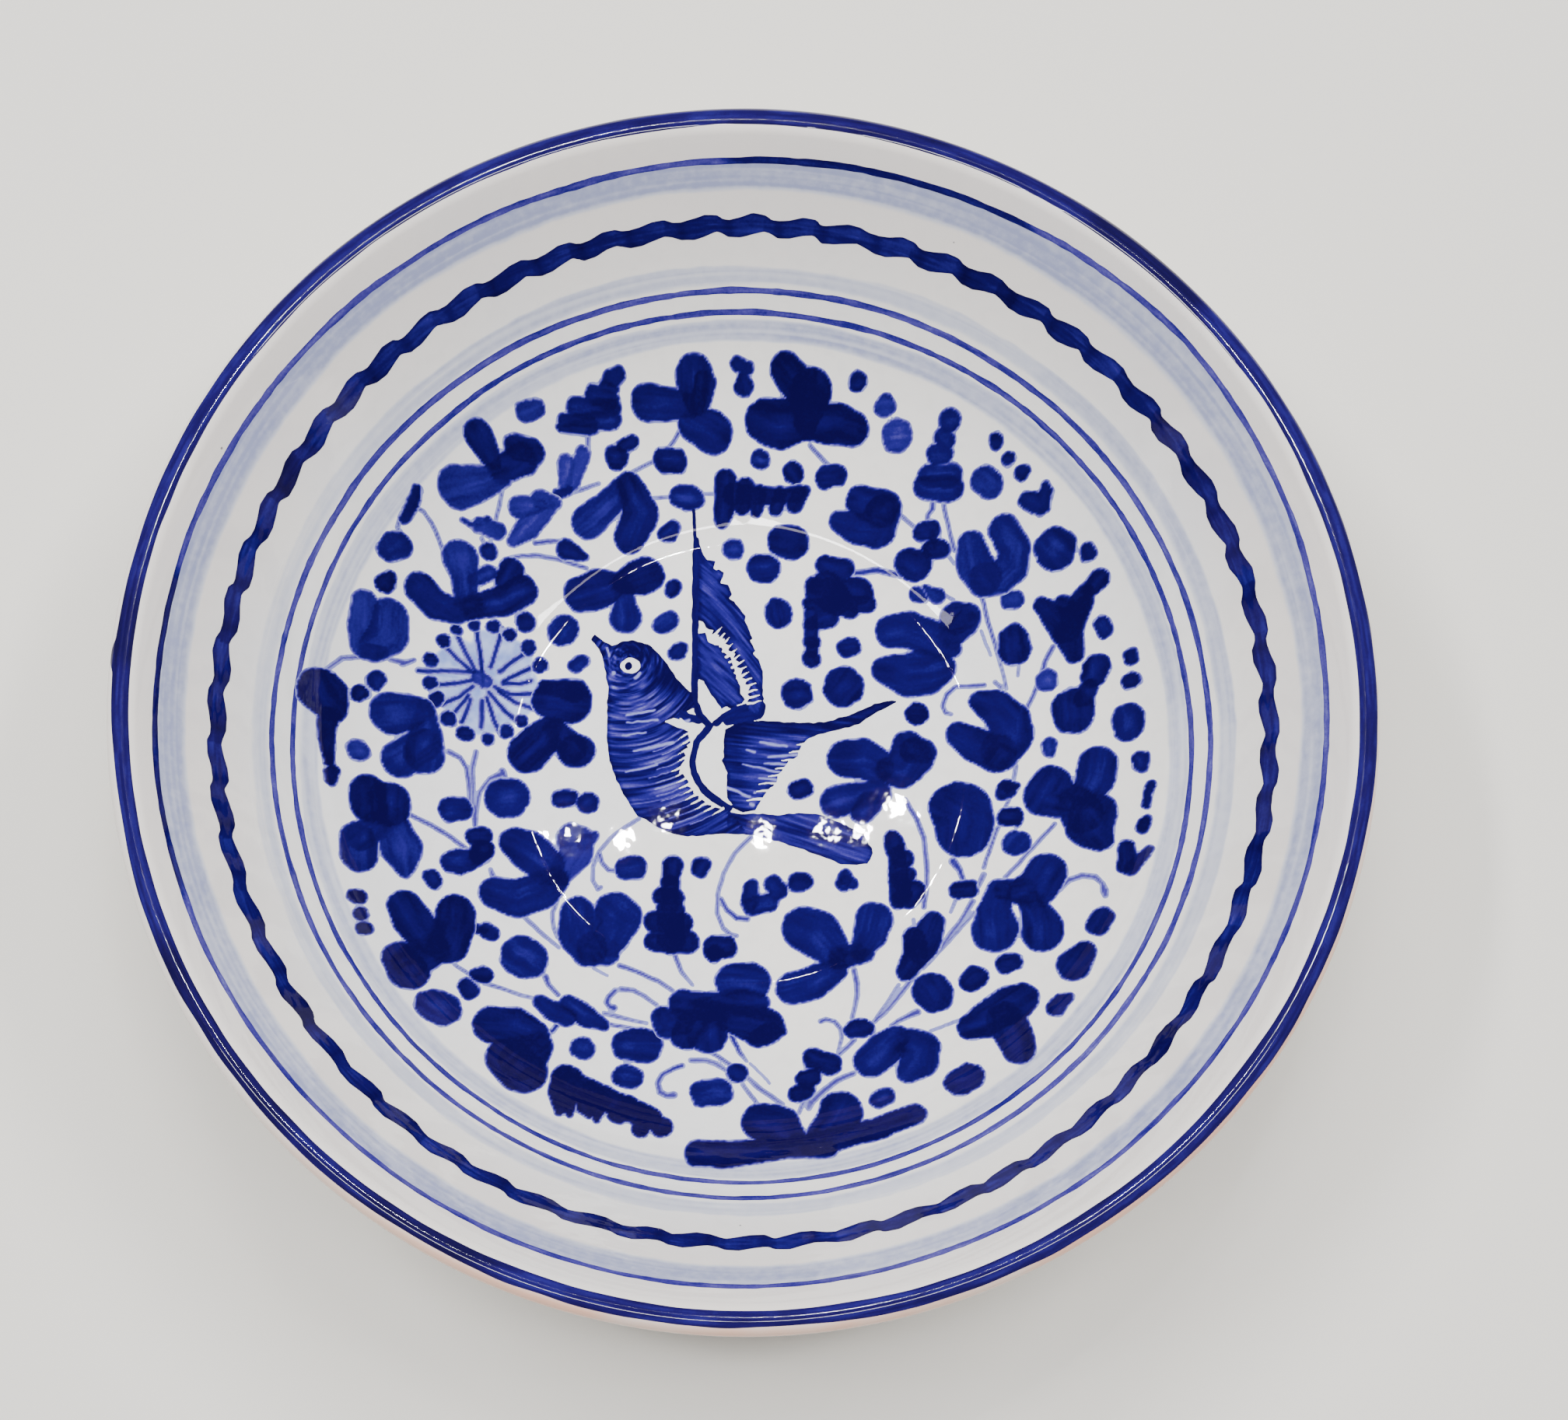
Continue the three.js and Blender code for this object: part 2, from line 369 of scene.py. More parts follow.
white_glaze, tree, shader = new_material("white_tin_glaze", 0.06)
skin = put_group(tree, white_colour, Thin=1.0)
dots = put_group(tree, specks, Amount=0.8)
tree.links.new(
    blend_colours(tree, dots.outputs[0], skin.outputs["Color"], colour(96, 92, 92)),
    shader.inputs["Base Color"],
)
tree.links.new(skin.outputs["Roughness"], shader.inputs["Roughness"])
add_ripple(tree, shader)
print("made", white_glaze.name)

# %% [markdown]
# The foot is wiped bare of glaze, or it would stick to the kiln's shelf. Bare clay is matt and gritty:
# its roughness is high, slow noise mottles it, and small cells make grains of paler grog.

# %% Materials: bare terracotta
terracotta, tree, shader = new_material("bare_terracotta", 0.85)
where = node(tree, "ShaderNodeTexCoord").outputs["Object"]
body = node(tree, "ShaderNodeTexNoise", [("Vector", where), ("Scale", 45.0), ("Detail", 4.0)])
grog = node(tree, "ShaderNodeTexVoronoi", [("Vector", where), ("Scale", 900.0)])
clay = blend_colours(tree, ramp(tree, body.outputs[0], 0.3, 0.7), colour(176, 112, 78), colour(206, 150, 114))
clay = blend_colours(
    tree,
    maths(tree, "MULTIPLY", maths(tree, "LESS_THAN", grog.outputs[0], 0.16), 0.4),
    clay,
    colour(232, 205, 180),
)
tree.links.new(clay, shader.inputs["Base Color"])
grit = node(tree, "ShaderNodeTexNoise", [("Vector", where), ("Scale", 1400.0), ("Detail", 3.0)])
add_bump(tree, shader, grit.outputs[0], 0.00025)
print("made", terracotta.name)

# %% [markdown]
# The clay body, the foot ring and the three coats of glaze are each turned from their own outline.
# The glaze is a real layer 0.4 mm thick, and it stops short of the table, as a potter wipes it.

# %% Turn the clay and the glaze
def foot_side(height, inside):
    draw_in = 1 - height / (FOOT_HEIGHT + GLAZE)
    return (FOOT_OUTER - FOOT_WIDTH + draw_in, height) if inside else (FOOT_OUTER - GLAZE - draw_in, height)


clay = np.vstack(
    [[(0, FOOT_HEIGHT + GLAZE + SEAT)], outer_face(GLAZE + SEAT)[::-1], inner_face(GLAZE + SEAT)[::-1][1:]]
)
finish_piece(thrown(clay), "turned_clay_body", terracotta, "terracotta", "clay_body")

foot_in, foot_out = foot_side(0, True)[0] + 0.8, foot_side(0, False)[0] - 0.8
ring = [
    foot_side(FOOT_HEIGHT + GLAZE, True),
    foot_side(3, True),
    foot_side(1.2, True),
    foot_side(0.8, True),
    (foot_in - 0.5, 0.25),
    (foot_in, 0),
    ((foot_in + foot_out) / 2, 0),
    (foot_out, 0),
    (foot_out + 0.5, 0.25),
    foot_side(0.8, False),
    foot_side(1.5, False),
    foot_side(3, False),
    foot_side(FOOT_HEIGHT + GLAZE, False),
]
finish_piece(thrown(ring), "turned_foot_ring", terracotta, "terracotta", "foot_ring")

inside = np.vstack([inner_face(GLAZE), inner_face(0)[::-1]])
finish_piece(thrown(inside), "inside_glaze", white_glaze, "white_glaze", "glaze_inside")

stop = foot_side(1.5, False)
bead = [(stop[0] + GLAZE, 3), (stop[0] + GLAZE + 0.06, 1.9), (stop[0] + GLAZE - 0.1, 1.55), (stop[0], 1.5)]
outside = np.vstack([outer_face(0), bead, outer_face(GLAZE)[::-1]])
finish_piece(thrown(outside), "outside_glaze", white_glaze, "white_glaze", "glaze_outside")

hollow = [
    (0, FOOT_HEIGHT),
    (26, FOOT_HEIGHT),
    (51.4, FOOT_HEIGHT),
    (52.2, FOOT_HEIGHT - 0.25),
    foot_side(FOOT_HEIGHT, True),
    foot_side(FOOT_HEIGHT + GLAZE, True),
    (0, FOOT_HEIGHT + GLAZE),
]
finish_piece(thrown(hollow), "hollow_glaze", white_glaze, "white_glaze", "glaze_base")

# %% [markdown]
# Paint lies on the glaze as a film. To lay a film, the glaze's surface is looked up by place: by x and y
# for the free painting, and by angle and distance along the section for what runs round the rim.

# %% Where the painted surface is
LAP = 16  # points of the outer face that the rim's paint can reach
face_in = inner_face(0)
full = np.vstack([face_in, outer_face(0)[1:LAP]])
path = np.concatenate([[0], np.cumsum(np.linalg.norm(np.diff(full, axis=0), axis=1))])
path -= path[len(face_in) - 1]  # nought on the crest, less inside, more outside
slope = np.gradient(full, path, axis=0)
slope /= np.linalg.norm(slope, axis=1)[:, None]


def on_path(angle, s):
    """A place and its outward direction, from an angle and a distance along the section from the crest."""
    r, z = np.interp(s, path, full[:, 0]), np.interp(s, path, full[:, 1])
    tr, tz = np.interp(s, path, slope[:, 0]), np.interp(s, path, slope[:, 1])
    c, n = np.cos(angle), np.sin(angle)
    return np.stack([r * c, r * n, z], -1), np.stack([-tz * c, -tz * n, tr], -1)


def on_plan(x, y):
    """A place and its outward direction, from x and y on the inside of the bowl."""
    return on_path(np.arctan2(y, x), along(np.hypot(x, y)))


def along(radius):
    """How far along the section a radius on the inside is."""
    return np.interp(radius, face_in[:, 0], path[: len(face_in)])


print("the painted section runs from", round(path[0], 1), "to", round(path[-1], 1), "mm round the crest")

# %% [markdown]
# A brush leaves soft, uneven edges and streaks along its path. The unevenness is smooth noise on a
# lattice of hashed numbers, so it is the same on every run.

# %% Smooth noise for edges and streaks
def hashed(i, j, seed):
    n = (i.astype(np.int64) * 374761393 + j.astype(np.int64) * 668265263 + seed * 1442695041) & 0x7FFFFFFF
    n = ((n ^ (n >> 13)) * 1274126177) & 0x7FFFFFFF
    return ((n ^ (n >> 16)) & 0xFFFF) / 65535


def chance(i, j, seed):
    """One hashed number from 0 to 1 for a pair of whole numbers."""
    return float(hashed(np.array(i), np.array(j), seed))


def noise(x, y, seed=0):
    """Smooth noise from -1 to 1 with one bump to each unit of x and y."""
    i, j = np.floor(x), np.floor(y)
    u, v = x - i, y - j
    u, v = u * u * (3 - 2 * u), v * v * (3 - 2 * v)
    low = hashed(i, j, seed) * (1 - u) + hashed(i + 1, j, seed) * u
    high = hashed(i, j + 1, seed) * (1 - u) + hashed(i + 1, j + 1, seed) * u
    return (low * (1 - v) + high * v) * 2 - 1


def smooth(value, low, high):
    t = np.clip((value - low) / (high - low), 0, 1)
    return t * t * (3 - 2 * t)


print("noise at three places:", noise(np.array([0.5, 3.2, 9.7]), np.array([0.5, 1.1, 4.4])).round(2))

# %% [markdown]
# A painted film starts as a grid primitive laid over the place to paint. Each point knows how far it
# is from the brush mark's edge: faces off the mark are deleted, the points left on the border are
# drawn onto the edge, the grid is laid on the glaze, and Solidify makes it a closed film.

# %% Lay a painted film
FILM = 0.11  # thickness, half of it sunk in the glaze


def painted_film(name, material, slot, us, vs, edge, surface, values, nodes=(), closed=False, proud=0.05):
    """edge is the distance to the mark's edge at each grid point, less than nought inside it."""
    nu, nv = len(us), len(vs)
    deselect_all()
    bpy.ops.mesh.primitive_grid_add(x_subdivisions=nu - 1, y_subdivisions=nv - 1, size=2)
    piece = bpy.context.object
    mesh = piece.data
    co = np.empty(nu * nv * 3)
    mesh.vertices.foreach_get("co", co)
    co = co.reshape(-1, 3)
    i = np.rint((co[:, 0] + 1) / 2 * (nu - 1)).astype(int)
    j = np.rint((co[:, 1] + 1) / 2 * (nv - 1)).astype(int)
    inside_face = (edge[:-1, :-1] + edge[1:, :-1] + edge[:-1, 1:] + edge[1:, 1:]) < 0
    touches = np.zeros((nu, nv, 2), bool)
    for di in (0, 1):
        for dj in (0, 1):
            touches[di : nu - 1 + di, dj : nv - 1 + dj, 0] |= inside_face
            touches[di : nu - 1 + di, dj : nv - 1 + dj, 1] |= ~inside_face
    border = touches.all(2)
    scale = values.pop("scale", 1.0)  # millimetres to each unit of us
    gu, gv = np.gradient(edge, us * scale, vs)
    step = np.where(border, edge / np.maximum(gu**2 + gv**2, 0.25), 0)
    most = 0.62 * (vs[1] - vs[0])
    u = us[:, None] - np.clip(step * gu, -most, most) / scale
    v = vs[None, :] - np.clip(step * gv, -most, most)
    place, out = surface(u, v)
    place = place + out * (proud if np.isscalar(proud) else proud[..., None])
    mesh.vertices.foreach_set("co", (place[i, j] * MM).ravel())
    for key, value in values.items():
        attribute = mesh.attributes.new(key, "FLOAT", "POINT")
        attribute.data.foreach_set("value", value[i, j].astype(np.float32))
    corners = np.empty(len(mesh.polygons) * 4, int)
    mesh.loops.foreach_get("vertex_index", corners)
    corners = corners.reshape(-1, 4)
    fi, fj = i[corners].min(1), j[corners].min(1)
    mesh.update()
    bpy.ops.object.mode_set(mode="EDIT")
    bpy.ops.mesh.select_mode(type="FACE")
    bpy.ops.mesh.select_all(action="DESELECT")
    bpy.ops.object.mode_set(mode="OBJECT")
    mesh.polygons.foreach_set("select", ~inside_face[fi, fj])
    bpy.ops.object.mode_set(mode="EDIT")
    bpy.ops.mesh.delete(type="FACE")
    bpy.ops.mesh.select_mode(type="VERT")
    if closed:  # a ring's grid faces into the clay, so it is merged where it closes and turned over
        bpy.ops.mesh.select_all(action="SELECT")
        bpy.ops.mesh.remove_doubles(threshold=1e-5)
        bpy.ops.mesh.flip_normals()
    bpy.ops.object.mode_set(mode="OBJECT")
    solid = piece.modifiers.new("film", "SOLIDIFY")
    solid.thickness = FILM * MM
    solid.offset = -1
    bpy.ops.object.modifier_apply(modifier=solid.name)
    bpy.ops.object.shade_smooth_by_angle(angle=math.radians(50))
    return finish_piece(piece, name, material, slot, *nodes)


# %% [markdown]
# Cobalt fires dark where the brush was full or passed twice, and shows streaky royal blue where it ran
# dry. The film's points carry how much colour lies there; the shader turns that into colour.

# %% Cobalt and its colours
def cobalt_group():
    group, given, out = new_group(
        "cobalt_colour",
        [("Load", "NodeSocketFloat", 0.7), ("Grain", "NodeSocketFloat", 1.0)],
        [("Color", "NodeSocketColor")],
    )
    where = node(group, "ShaderNodeTexCoord").outputs["Object"]
    grain = node(
        group,
        "ShaderNodeTexNoise",
        [("Vector", where), ("Scale", 1300.0), ("Detail", 3.0), ("Roughness", 0.6)],
    )
    pools = node(group, "ShaderNodeTexNoise", [("Vector", where), ("Scale", 170.0), ("Detail", 2.0)])
    extra = maths(
        group,
        "ADD",
        maths(group, "MULTIPLY", maths(group, "SUBTRACT", grain.outputs[0], 0.5), 0.42),
        maths(group, "MULTIPLY", maths(group, "SUBTRACT", pools.outputs[0], 0.5), 0.3),
    )
    load = maths(
        group,
        "ADD",
        given.outputs["Load"],
        maths(group, "MULTIPLY", extra, given.outputs["Grain"]),
        clamp=True,
    )
    bands = node(group, "ShaderNodeValToRGB", [(0, load)])
    stops = bands.color_ramp.elements
    stops[0].position, stops[0].color = 0.0, COBALT_THIN
    stops[1].position, stops[1].color = 1.0, COBALT_POOLED
    for position, tint in ((0.28, COBALT_LIGHT), (0.5, COBALT_MID), (0.75, COBALT_DEEP)):
        stops.new(position).color = tint
    group.links.new(bands.outputs[0], out.inputs["Color"])
    return group


COBALT_THIN = colour(128, 132, 190)
COBALT_LIGHT = colour(74, 66, 146)
COBALT_MID = colour(36, 28, 114)
COBALT_DEEP = colour(21, 5, 80)
COBALT_POOLED = colour(12, 1, 56)
cobalt_colour = cobalt_group()


def cobalt_material(name, grain, roughness=0.015, mirror=1.17):
    """Cobalt sunk in the glaze mirrors less than bare glaze, so its index is low unless told."""
    material, tree, shader = new_material(name, roughness)
    shader.inputs["IOR"].default_value = mirror
    load = node(tree, "ShaderNodeAttribute", attribute_name="load", attribute_type="GEOMETRY").outputs["Fac"]
    paint = put_group(tree, cobalt_colour, Load=load, Grain=grain)
    tree.links.new(paint.outputs[0], shader.inputs["Base Color"])
    add_ripple(tree, shader, peel=0.6)
    return material


brushed_cobalt = cobalt_material("brushed_cobalt", 0.5)
line_cobalt = cobalt_material("lined_cobalt", 0.7)
bird_cobalt = cobalt_material("feathered_cobalt", 0.45)
print("made", brushed_cobalt.name, line_cobalt.name, bird_cobalt.name)

# %% [markdown]
# A brush mark is a chain of round touches. Between two touches the brush's edge runs straight, so the
# mark is a chain of rounded cones, and the distance to it is quick to work out for a whole grid.

# %% Distance to a brush stroke
def stroke_distance(x, y, touches):
    """Distance to the stroke's edge, and the place across it and along it."""
    best = across = along_it = None
    walked = 0.0
    pairs = list(zip(touches[:-1], touches[1:])) or [(touches[0], touches[0])]
    for (ax, ay, ar), (bx, by, br) in pairs:
        dx, dy = bx - ax, by - ay
        length = math.hypot(dx, dy)
        if length < 1e-6:
            d = np.hypot(x - ax, y - ay) - max(ar, br)
            q, p = y - ay, x - ax
        else:
            ux, uy = dx / length, dy / length
            p = (x - ax) * ux + (y - ay) * uy
            q = -(x - ax) * uy + (y - ay) * ux
            lean = (ar - br) / length
            if abs(lean) >= 1:
                cx, cy, cr = (ax, ay, ar) if ar > br else (bx, by, br)
                d = np.hypot(x - cx, y - cy) - cr
            else:
                t = np.clip((p - np.abs(q) * lean / math.sqrt(1 - lean * lean)) / length, 0, 1)
                d = np.hypot(p - t * length, q) - (ar + (br - ar) * t)
        if best is None:
            best, across, along_it = d, q, p
        else:
            nearer = d < best
            across, along_it = np.where(nearer, q, across), np.where(nearer, p + walked, along_it)
            best = np.where(nearer, d, best)
        walked += length
    return best, across, along_it


def touches_of(numbers):
    return [tuple(numbers[k : k + 3]) for k in range(0, len(numbers), 3)]


def soft_min(a, b, k):
    h = np.clip(0.5 + 0.5 * (b - a) / k, 0, 1)
    return b * (1 - h) + a * h - k * h * (1 - h)


# %% [markdown]
# Painting goes mark by mark. A mark has a tone, how full the brush was, and its strokes. Where strokes
# of a mark cross, the colour is laid twice and fires nearly black. Inside a stroke the colour streaks
# along the way the brush went, and gathers in a thin dark line at its edge.

# %% Paint marks on a grid
SPREAD = 0.27  # how far the colour spreads past the brush as the glaze melts
FAR = 9.0  # the distance to a mark where there is none


def paint_marks(us, vs, marks, wobble=0.22, seed=5, streak=0.2):
    X, Y = np.meshgrid(us, vs, indexing="ij")
    edge = np.full(X.shape, FAR)
    load = np.zeros(X.shape)
    shift_x, shift_y = noise(X / 2.6, Y / 2.6, seed), noise(X / 2.6, Y / 2.6, seed + 1)
    fine_x, fine_y = noise(X / 0.9, Y / 0.9, seed + 2), noise(X / 0.9, Y / 0.9, seed + 3)
    WX = X + wobble * (shift_x + 0.4 * fine_x)
    WY = Y + wobble * (shift_y + 0.4 * fine_y)
    for k, mark in enumerate(marks):
        tone, strokes = mark[0], [touches_of(s) for s in mark[1:]]
        points = np.array([t for s in strokes for t in s])
        low = (points[:, :2] - points[:, 2:]).min(0) - 1.5
        high = (points[:, :2] + points[:, 2:]).max(0) + 1.5
        iu = slice(*np.searchsorted(us, (low[0], high[0])))
        iv = slice(*np.searchsorted(vs, (low[1], high[1])))
        x, y = WX[iu, iv], WY[iu, iv]
        if x.size == 0:
            continue
        mark_edge = np.full(x.shape, FAR)
        layers = np.zeros(x.shape)
        dense = np.zeros(x.shape)
        thin = 0.35 if points[:, 2].max() > 1.2 else 0.15
        for n, s in enumerate(strokes):
            d, q, p = stroke_distance(x, y, s)
            cover = smooth(-d, 0.0, 0.5)
            size = max(t[2] for t in s)
            comb = noise(q / 0.62 + 31.7 * n + 7.3 * k, p / 7.0 + 3.1 * n, 11 + k) * 0.62
            comb = comb + noise(q / 1.5 + 5.3 * n + 2.9 * k, p / 10.0, 12 + k) * 0.6
            pale = smooth(-d, 0.35 * size, 0.95 * size) * (0.5 + 0.5 * noise(x / 5 + k, y / 5, 13 + n))
            here = tone + streak * comb - 0.17 * pale * (size > 1.6) + 0.1 * (1 - smooth(-d, 0.1, 0.75))
            dense = np.maximum(dense, here * cover)
            layers = layers + smooth(-d, 0.1, 0.9)
            mark_edge = soft_min(mark_edge, d - SPREAD, thin)
        dense = dense + 0.12 * smooth(layers, 1.3, 2.0) * tone
        nearer = mark_edge < edge[iu, iv]
        both = (mark_edge < 0) & (edge[iu, iv] < 0)
        old = load[iu, iv]
        load[iu, iv] = np.where(
            both, np.minimum(np.maximum(dense, old) + 0.06, 1), np.where(nearer, dense, old)
        )
        edge[iu, iv] = np.minimum(mark_edge, edge[iu, iv])
    return edge, np.clip(load, 0, 1)


# %% [markdown]
# The free painting: leaves, daubs, little trees and stems, filling the inside round the bird. The
# strokes were set down as x, y and half the brush's width in millimetres, one after another.

# %% Leaves in three and two petals
LEAVES = [
    (
        .85, (-14, 92, 3.3, -25.3, 92.1, 4.3), (-13, 92, 2.8, -13.2, 98.4, 5), (-10.5, 97.5, 3, -12, 92, 2.6),
        (-13.5, 88, 4, -8.5, 86, 5.2),
    ),
    (.72, (-31.5, 72, 3, -35.5, 67.5, 3.7, -40.8, 62.8, 4.3)),
    (.88, (-30, 72.5, 3.5, -27, 66, 4.8, -30, 59.5, 3.9)),
    (
        .88, (-64.5, 74.5, 2.5, -68.2, 79.8, 3.7), (-63, 73, 3, -57.5, 76.5, 4.2),
        (-59, 78.6, 3.2, -55, 78.3, 3.3),
    ),
    (.68, (-63, 71.5, 2.8, -68, 69.3, 4, -73.5, 67.3, 5)),
    (
        .62, (-58.3, 64.9, 2.9, -53, 66, 2.2), (-52.8, 67.2, 2.7, -49.5, 67, 2),
        (-60, 56.4, 1.5, -56, 60.5, 3.2, -51, 66, 2.6),
    ),
    (
        .95, (16.5, 92, 5, 17, 95, 5.6), (17, 93, 4.6, 10.3, 100.2, 3.9),
        (15, 88.5, 4.5, 9, 88.1, 6, 5.2, 88.9, 5.2), (17, 88.5, 4.5, 24, 87.7, 4.8, 28.2, 86.3, 4.1),
    ),
    (.85, (30.3, 69.2, 3.9, 35.8, 66.6, 5.2), (24.8, 64.3, 2.6, 30, 62.6, 4.4, 34.6, 62.4, 5.2, 36, 66, 5)),
    (
        .74, (59, 56.5, 3.6, 60, 51, 4.8, 62.5, 47.8, 4.7),
        (67, 59.5, 3.8, 70, 54, 4, 69.3, 50, 4.3, 66.3, 47.6, 4.3, 62.5, 47.8, 4.6),
    ),
    (.6, (-96, 35.5, 3.2, -96.5, 29.5, 3.5, -95.8, 25, 3.5)),
    (.7, (-90, 33.5, 4.6, -90.5, 29, 5, -94, 25, 3.6), (-95.5, 23.9, 2.1, -92, 24.3, 2.1)),
    (.78, (-89, 9, 5.6, -85, 10, 4.6, -81.5, 11.5, 2.6)),
    (.76, (-81, 11.5, 2.2, -80.8, 5, 4, -81.3, -.5, 5.3), (-81, 2, 4.6, -86.8, -2.6, 4.8)),
    (.72, (-73, 50.5, 4.6, -72, 46, 3.5, -71.5, 41, 3.2), (-70, 45.5, 1.8, -65.8, 48, 2.1)),
    (.86, (-83, 41.8, 3.9, -79, 38.3, 4, -74, 37.5, 3.2, -70, 39, 3.2)),
    (.92, (-60.3, 49.3, 3.3, -62, 46.4, 2.6), (-57.5, 44.5, 4.1, -63, 41, 4, -70, 38.8, 3.1)),
    (.92, (-49.5, 16, 5.2, -45, 15.8, 6), (-51.3, 19.6, 1.9, -43.5, 18.4, 3.4)),
    (.9, (-43.5, 2.8, 4.6, -42.3, 2.4, 4.3), (-43.8, 3, 4.3, -48.5, 8.5, 2.8)),
    (.94, (-55.3, 2, 5.4, -52.5, 4.8, 5.2, -50, 8, 3.6)),
    (.84, (-42, 44.5, 4.9, -38, 45.8, 5.4, -34.5, 47, 4)),
    (.94, (-31.5, 48, 3.4, -27, 49.5, 5, -25.7, 50, 5)),
    (.76, (-31.2, 46, 2.2, -31, 42, 3, -30.7, 38.3, 4.3)),
    (.82, (38.5, 35, 4.4, 43, 35.5, 5.1, 48, 33.5, 5, 52, 31.5, 4, 54, 30.5, 2.8)),
    (.82, (37, 24.6, 3.8, 43, 23.4, 6, 47, 24, 6, 51, 25.3, 4.2)),
    (.8, (55.3, 38, 4.5, 58, 38.4, 3.6), (57.5, 37, 3.8, 54, 33.5, 3.2)),
    (
        .84, (26.5, .8, 5, 31, .8, 5.5, 34.5, -1, 4.8),
        (42.5, 4.2, 4.3, 43.3, 1.5, 5.9, 41, -2.3, 4.6, 37.5, -2, 4), (43.5, 3.2, 4, 46, 2.6, 3.8),
    ),
    (.8, (24, -10.5, 4.3, 30, -9, 3.7, 35, -8.2, 3.3), (30.5, -13, 3.4, 32.3, -11, 3.6)),
    (
        .84, (60.8, 16.2, 2.7, 65, 14.3, 4.5, 68.6, 10.3, 5.3, 69, 6.5, 5.6, 66, 2.8, 5.6),
        (55.6, 7.3, 3.5, 60, 4.7, 4.8, 65.5, 2.2, 5.2),
    ),
    (.95, (-94, -12.5, 4.7, -93.5, -16, 4.6)),
    (.88, (-89, -14, 5.1, -89, -16, 4.9)),
    (.78, (-95.5, -25, 4.5, -95.4, -29.5, 4.3), (-95, -24.5, 4, -91.5, -20.5, 3)),
    (.74, (-88, -19, 3.6, -85.7, -26, 5.2, -84.8, -30.5, 2.8, -84.4, -32.9, 1)),
    (.92, (-84, -41.5, 4.4, -82, -45, 4.9, -78.5, -49, 4.6)),
    (.95, (-72, -41.6, 4.9, -72, -45, 4.9, -73.5, -50.5, 5)),
    (.86, (-84, -55.2, 4.5, -82, -58.5, 5.2), (-82, -56, 4.8, -76.5, -52, 4)),
    (.84, (-58.3, -21.8, 3.9, -55, -23.5, 5.2, -50, -27.5, 5)),
    (.84, (-62.3, -35.5, 4.2, -57, -36.7, 5.1, -51.5, -34.5, 5, -47.5, -31.5, 3.6)),
    (
        .66, (-43.7, -20.5, 4, -41, -20.6, 3.2, -42.5, -24.5, 4.2, -46, -29.5, 3),
        (-37.7, -19.8, 1.1, -40.5, -21.5, 2.6),
    ),
    (.78, (-41.7, -40, 4.5, -40.7, -45.5, 5.9, -38.5, -49.2, 5), (-38, -49, 4.6, -34.5, -50, 3.6)),
    (.8, (-32.2, -40, 5.6, -31, -41, 5.5, -34, -46.5, 5)),
    (.8, (15.5, -43.5, 5.6, 19, -45, 6.2, 22.5, -49, 4.6), (24, -50.5, 3, 29, -49.5, 2.2)),
    (.8, (33.3, -41.5, 4.9, 32.3, -45, 4.3, 29.5, -50, 2.6), (24, -52, 2.6, 31.5, -50.2, 2)),
    (.78, (12.8, -59, 4.4, 18, -57.5, 4.4, 23.5, -54.5, 3)),
    (.86, (53.8, -12, 6.2, 56, -13, 8, 56.8, -15.5, 7.6, 56.3, -17.8, 7.3)),
    (.86, (78.5, -7.5, 5.3, 77, -10, 5.5, 80, -11, 5.4)),
    (.8, (89.8, -3.5, 4.9, 89.2, -7, 4.9, 87, -10.5, 4)),
    (.88, (88, -16.5, 6.2, 87.5, -19, 5.9, 90, -23.3, 3.1), (84, -12.5, 4.5, 86, -16, 5.5)),
    (.84, (76.5, -30.5, 5.1, 74, -34.5, 5.3, 71.5, -35, 4.4)),
    (.82, (65, -34.5, 3.4, 63.5, -40, 4.2, 63.5, -45, 5.9), (66, -34.5, 3, 71, -35.5, 3.6)),
    (.84, (73, -39, 3.4, 74.8, -44.6, 5, 74.8, -46.7, 5.1)),
    (.9, (-61.5, -71, 5, -56.5, -71, 5.1, -52, -73.5, 4.4)),
    (.9, (-57.2, -79.5, 5.7, -53.8, -82.8, 6.2), (-54, -80, 6, -50.7, -76, 4)),
    (.84, (31.8, -78.8, 4.4, 35.5, -75.5, 4.7, 38.5, -72.8, 3.3)),
    (.82, (41.5, -74, 3.7, 44.3, -75.7, 4.6, 43.7, -79, 4.7, 40.8, -81.9, 3.1)),
    (.9, (5, -95, 5.3, 8.5, -95.8, 5.6, 11, -99, 4.5)),
    (.88, (24, -92.3, 5.5, 23, -94, 4.9, 19.5, -98.5, 4)),
    (
        .93,
        (
            -10.3, -103.4, 3.8, -3, -103.7, 3.7, 10, -102, 3, 20, -100.5, 3.6, 25, -98.8, 3.1, 33, -97, 3.1,
            41.7, -93.4, 2.9,
        ),
        (16, -102.2, 2.4, 20.5, -102.3, 2.5),
    ),
    (.9, (-14.5, -63.5, 4.1, -9, -64.3, 4, 0, -62.5, 3.6, 4, -63, 3)),
    (.8, (-2.3, -57.2, 4.6, 2.3, -57.4, 4.9)),
    (.86, (-19.8, -67.2, 3.2, -18.8, -69.3, 3.4, -15, -68.5, 3.6), (-14, -71.3, 4.3, -11.5, -67, 4.6)),
    (.86, (-8.7, -71.2, 5.1, -9, -66, 4.4)),
    (
        .94, (-4, -66.5, 3.6, 3, -68.5, 5, 5.6, -69.3, 5.1), (3.7, -72.2, 2.7, 5.5, -71, 3),
        (9.8, -70.6, 1.2, 7, -70, 2.6),
    ),
    (
        .92, (56.5, -70.7, 3.4, 60, -69.3, 4.6, 65.5, -66, 5.3, 69, -63.8, 4.2),
        (64.7, -69, 5, 66.7, -74.5, 4.5, 67.5, -77.7, 3.9),
    ),
    (.86, (84.5, -52.7, 2.8, 81.7, -56.2, 4.2)),
    (.92, (48.2, -42.2, 3, 46, -47.5, 4.3, 41.3, -55, 2.6), (43.6, -46, 3.1, 44, -50, 3.3)),
]
print(len(LEAVES), "leaf strokes")

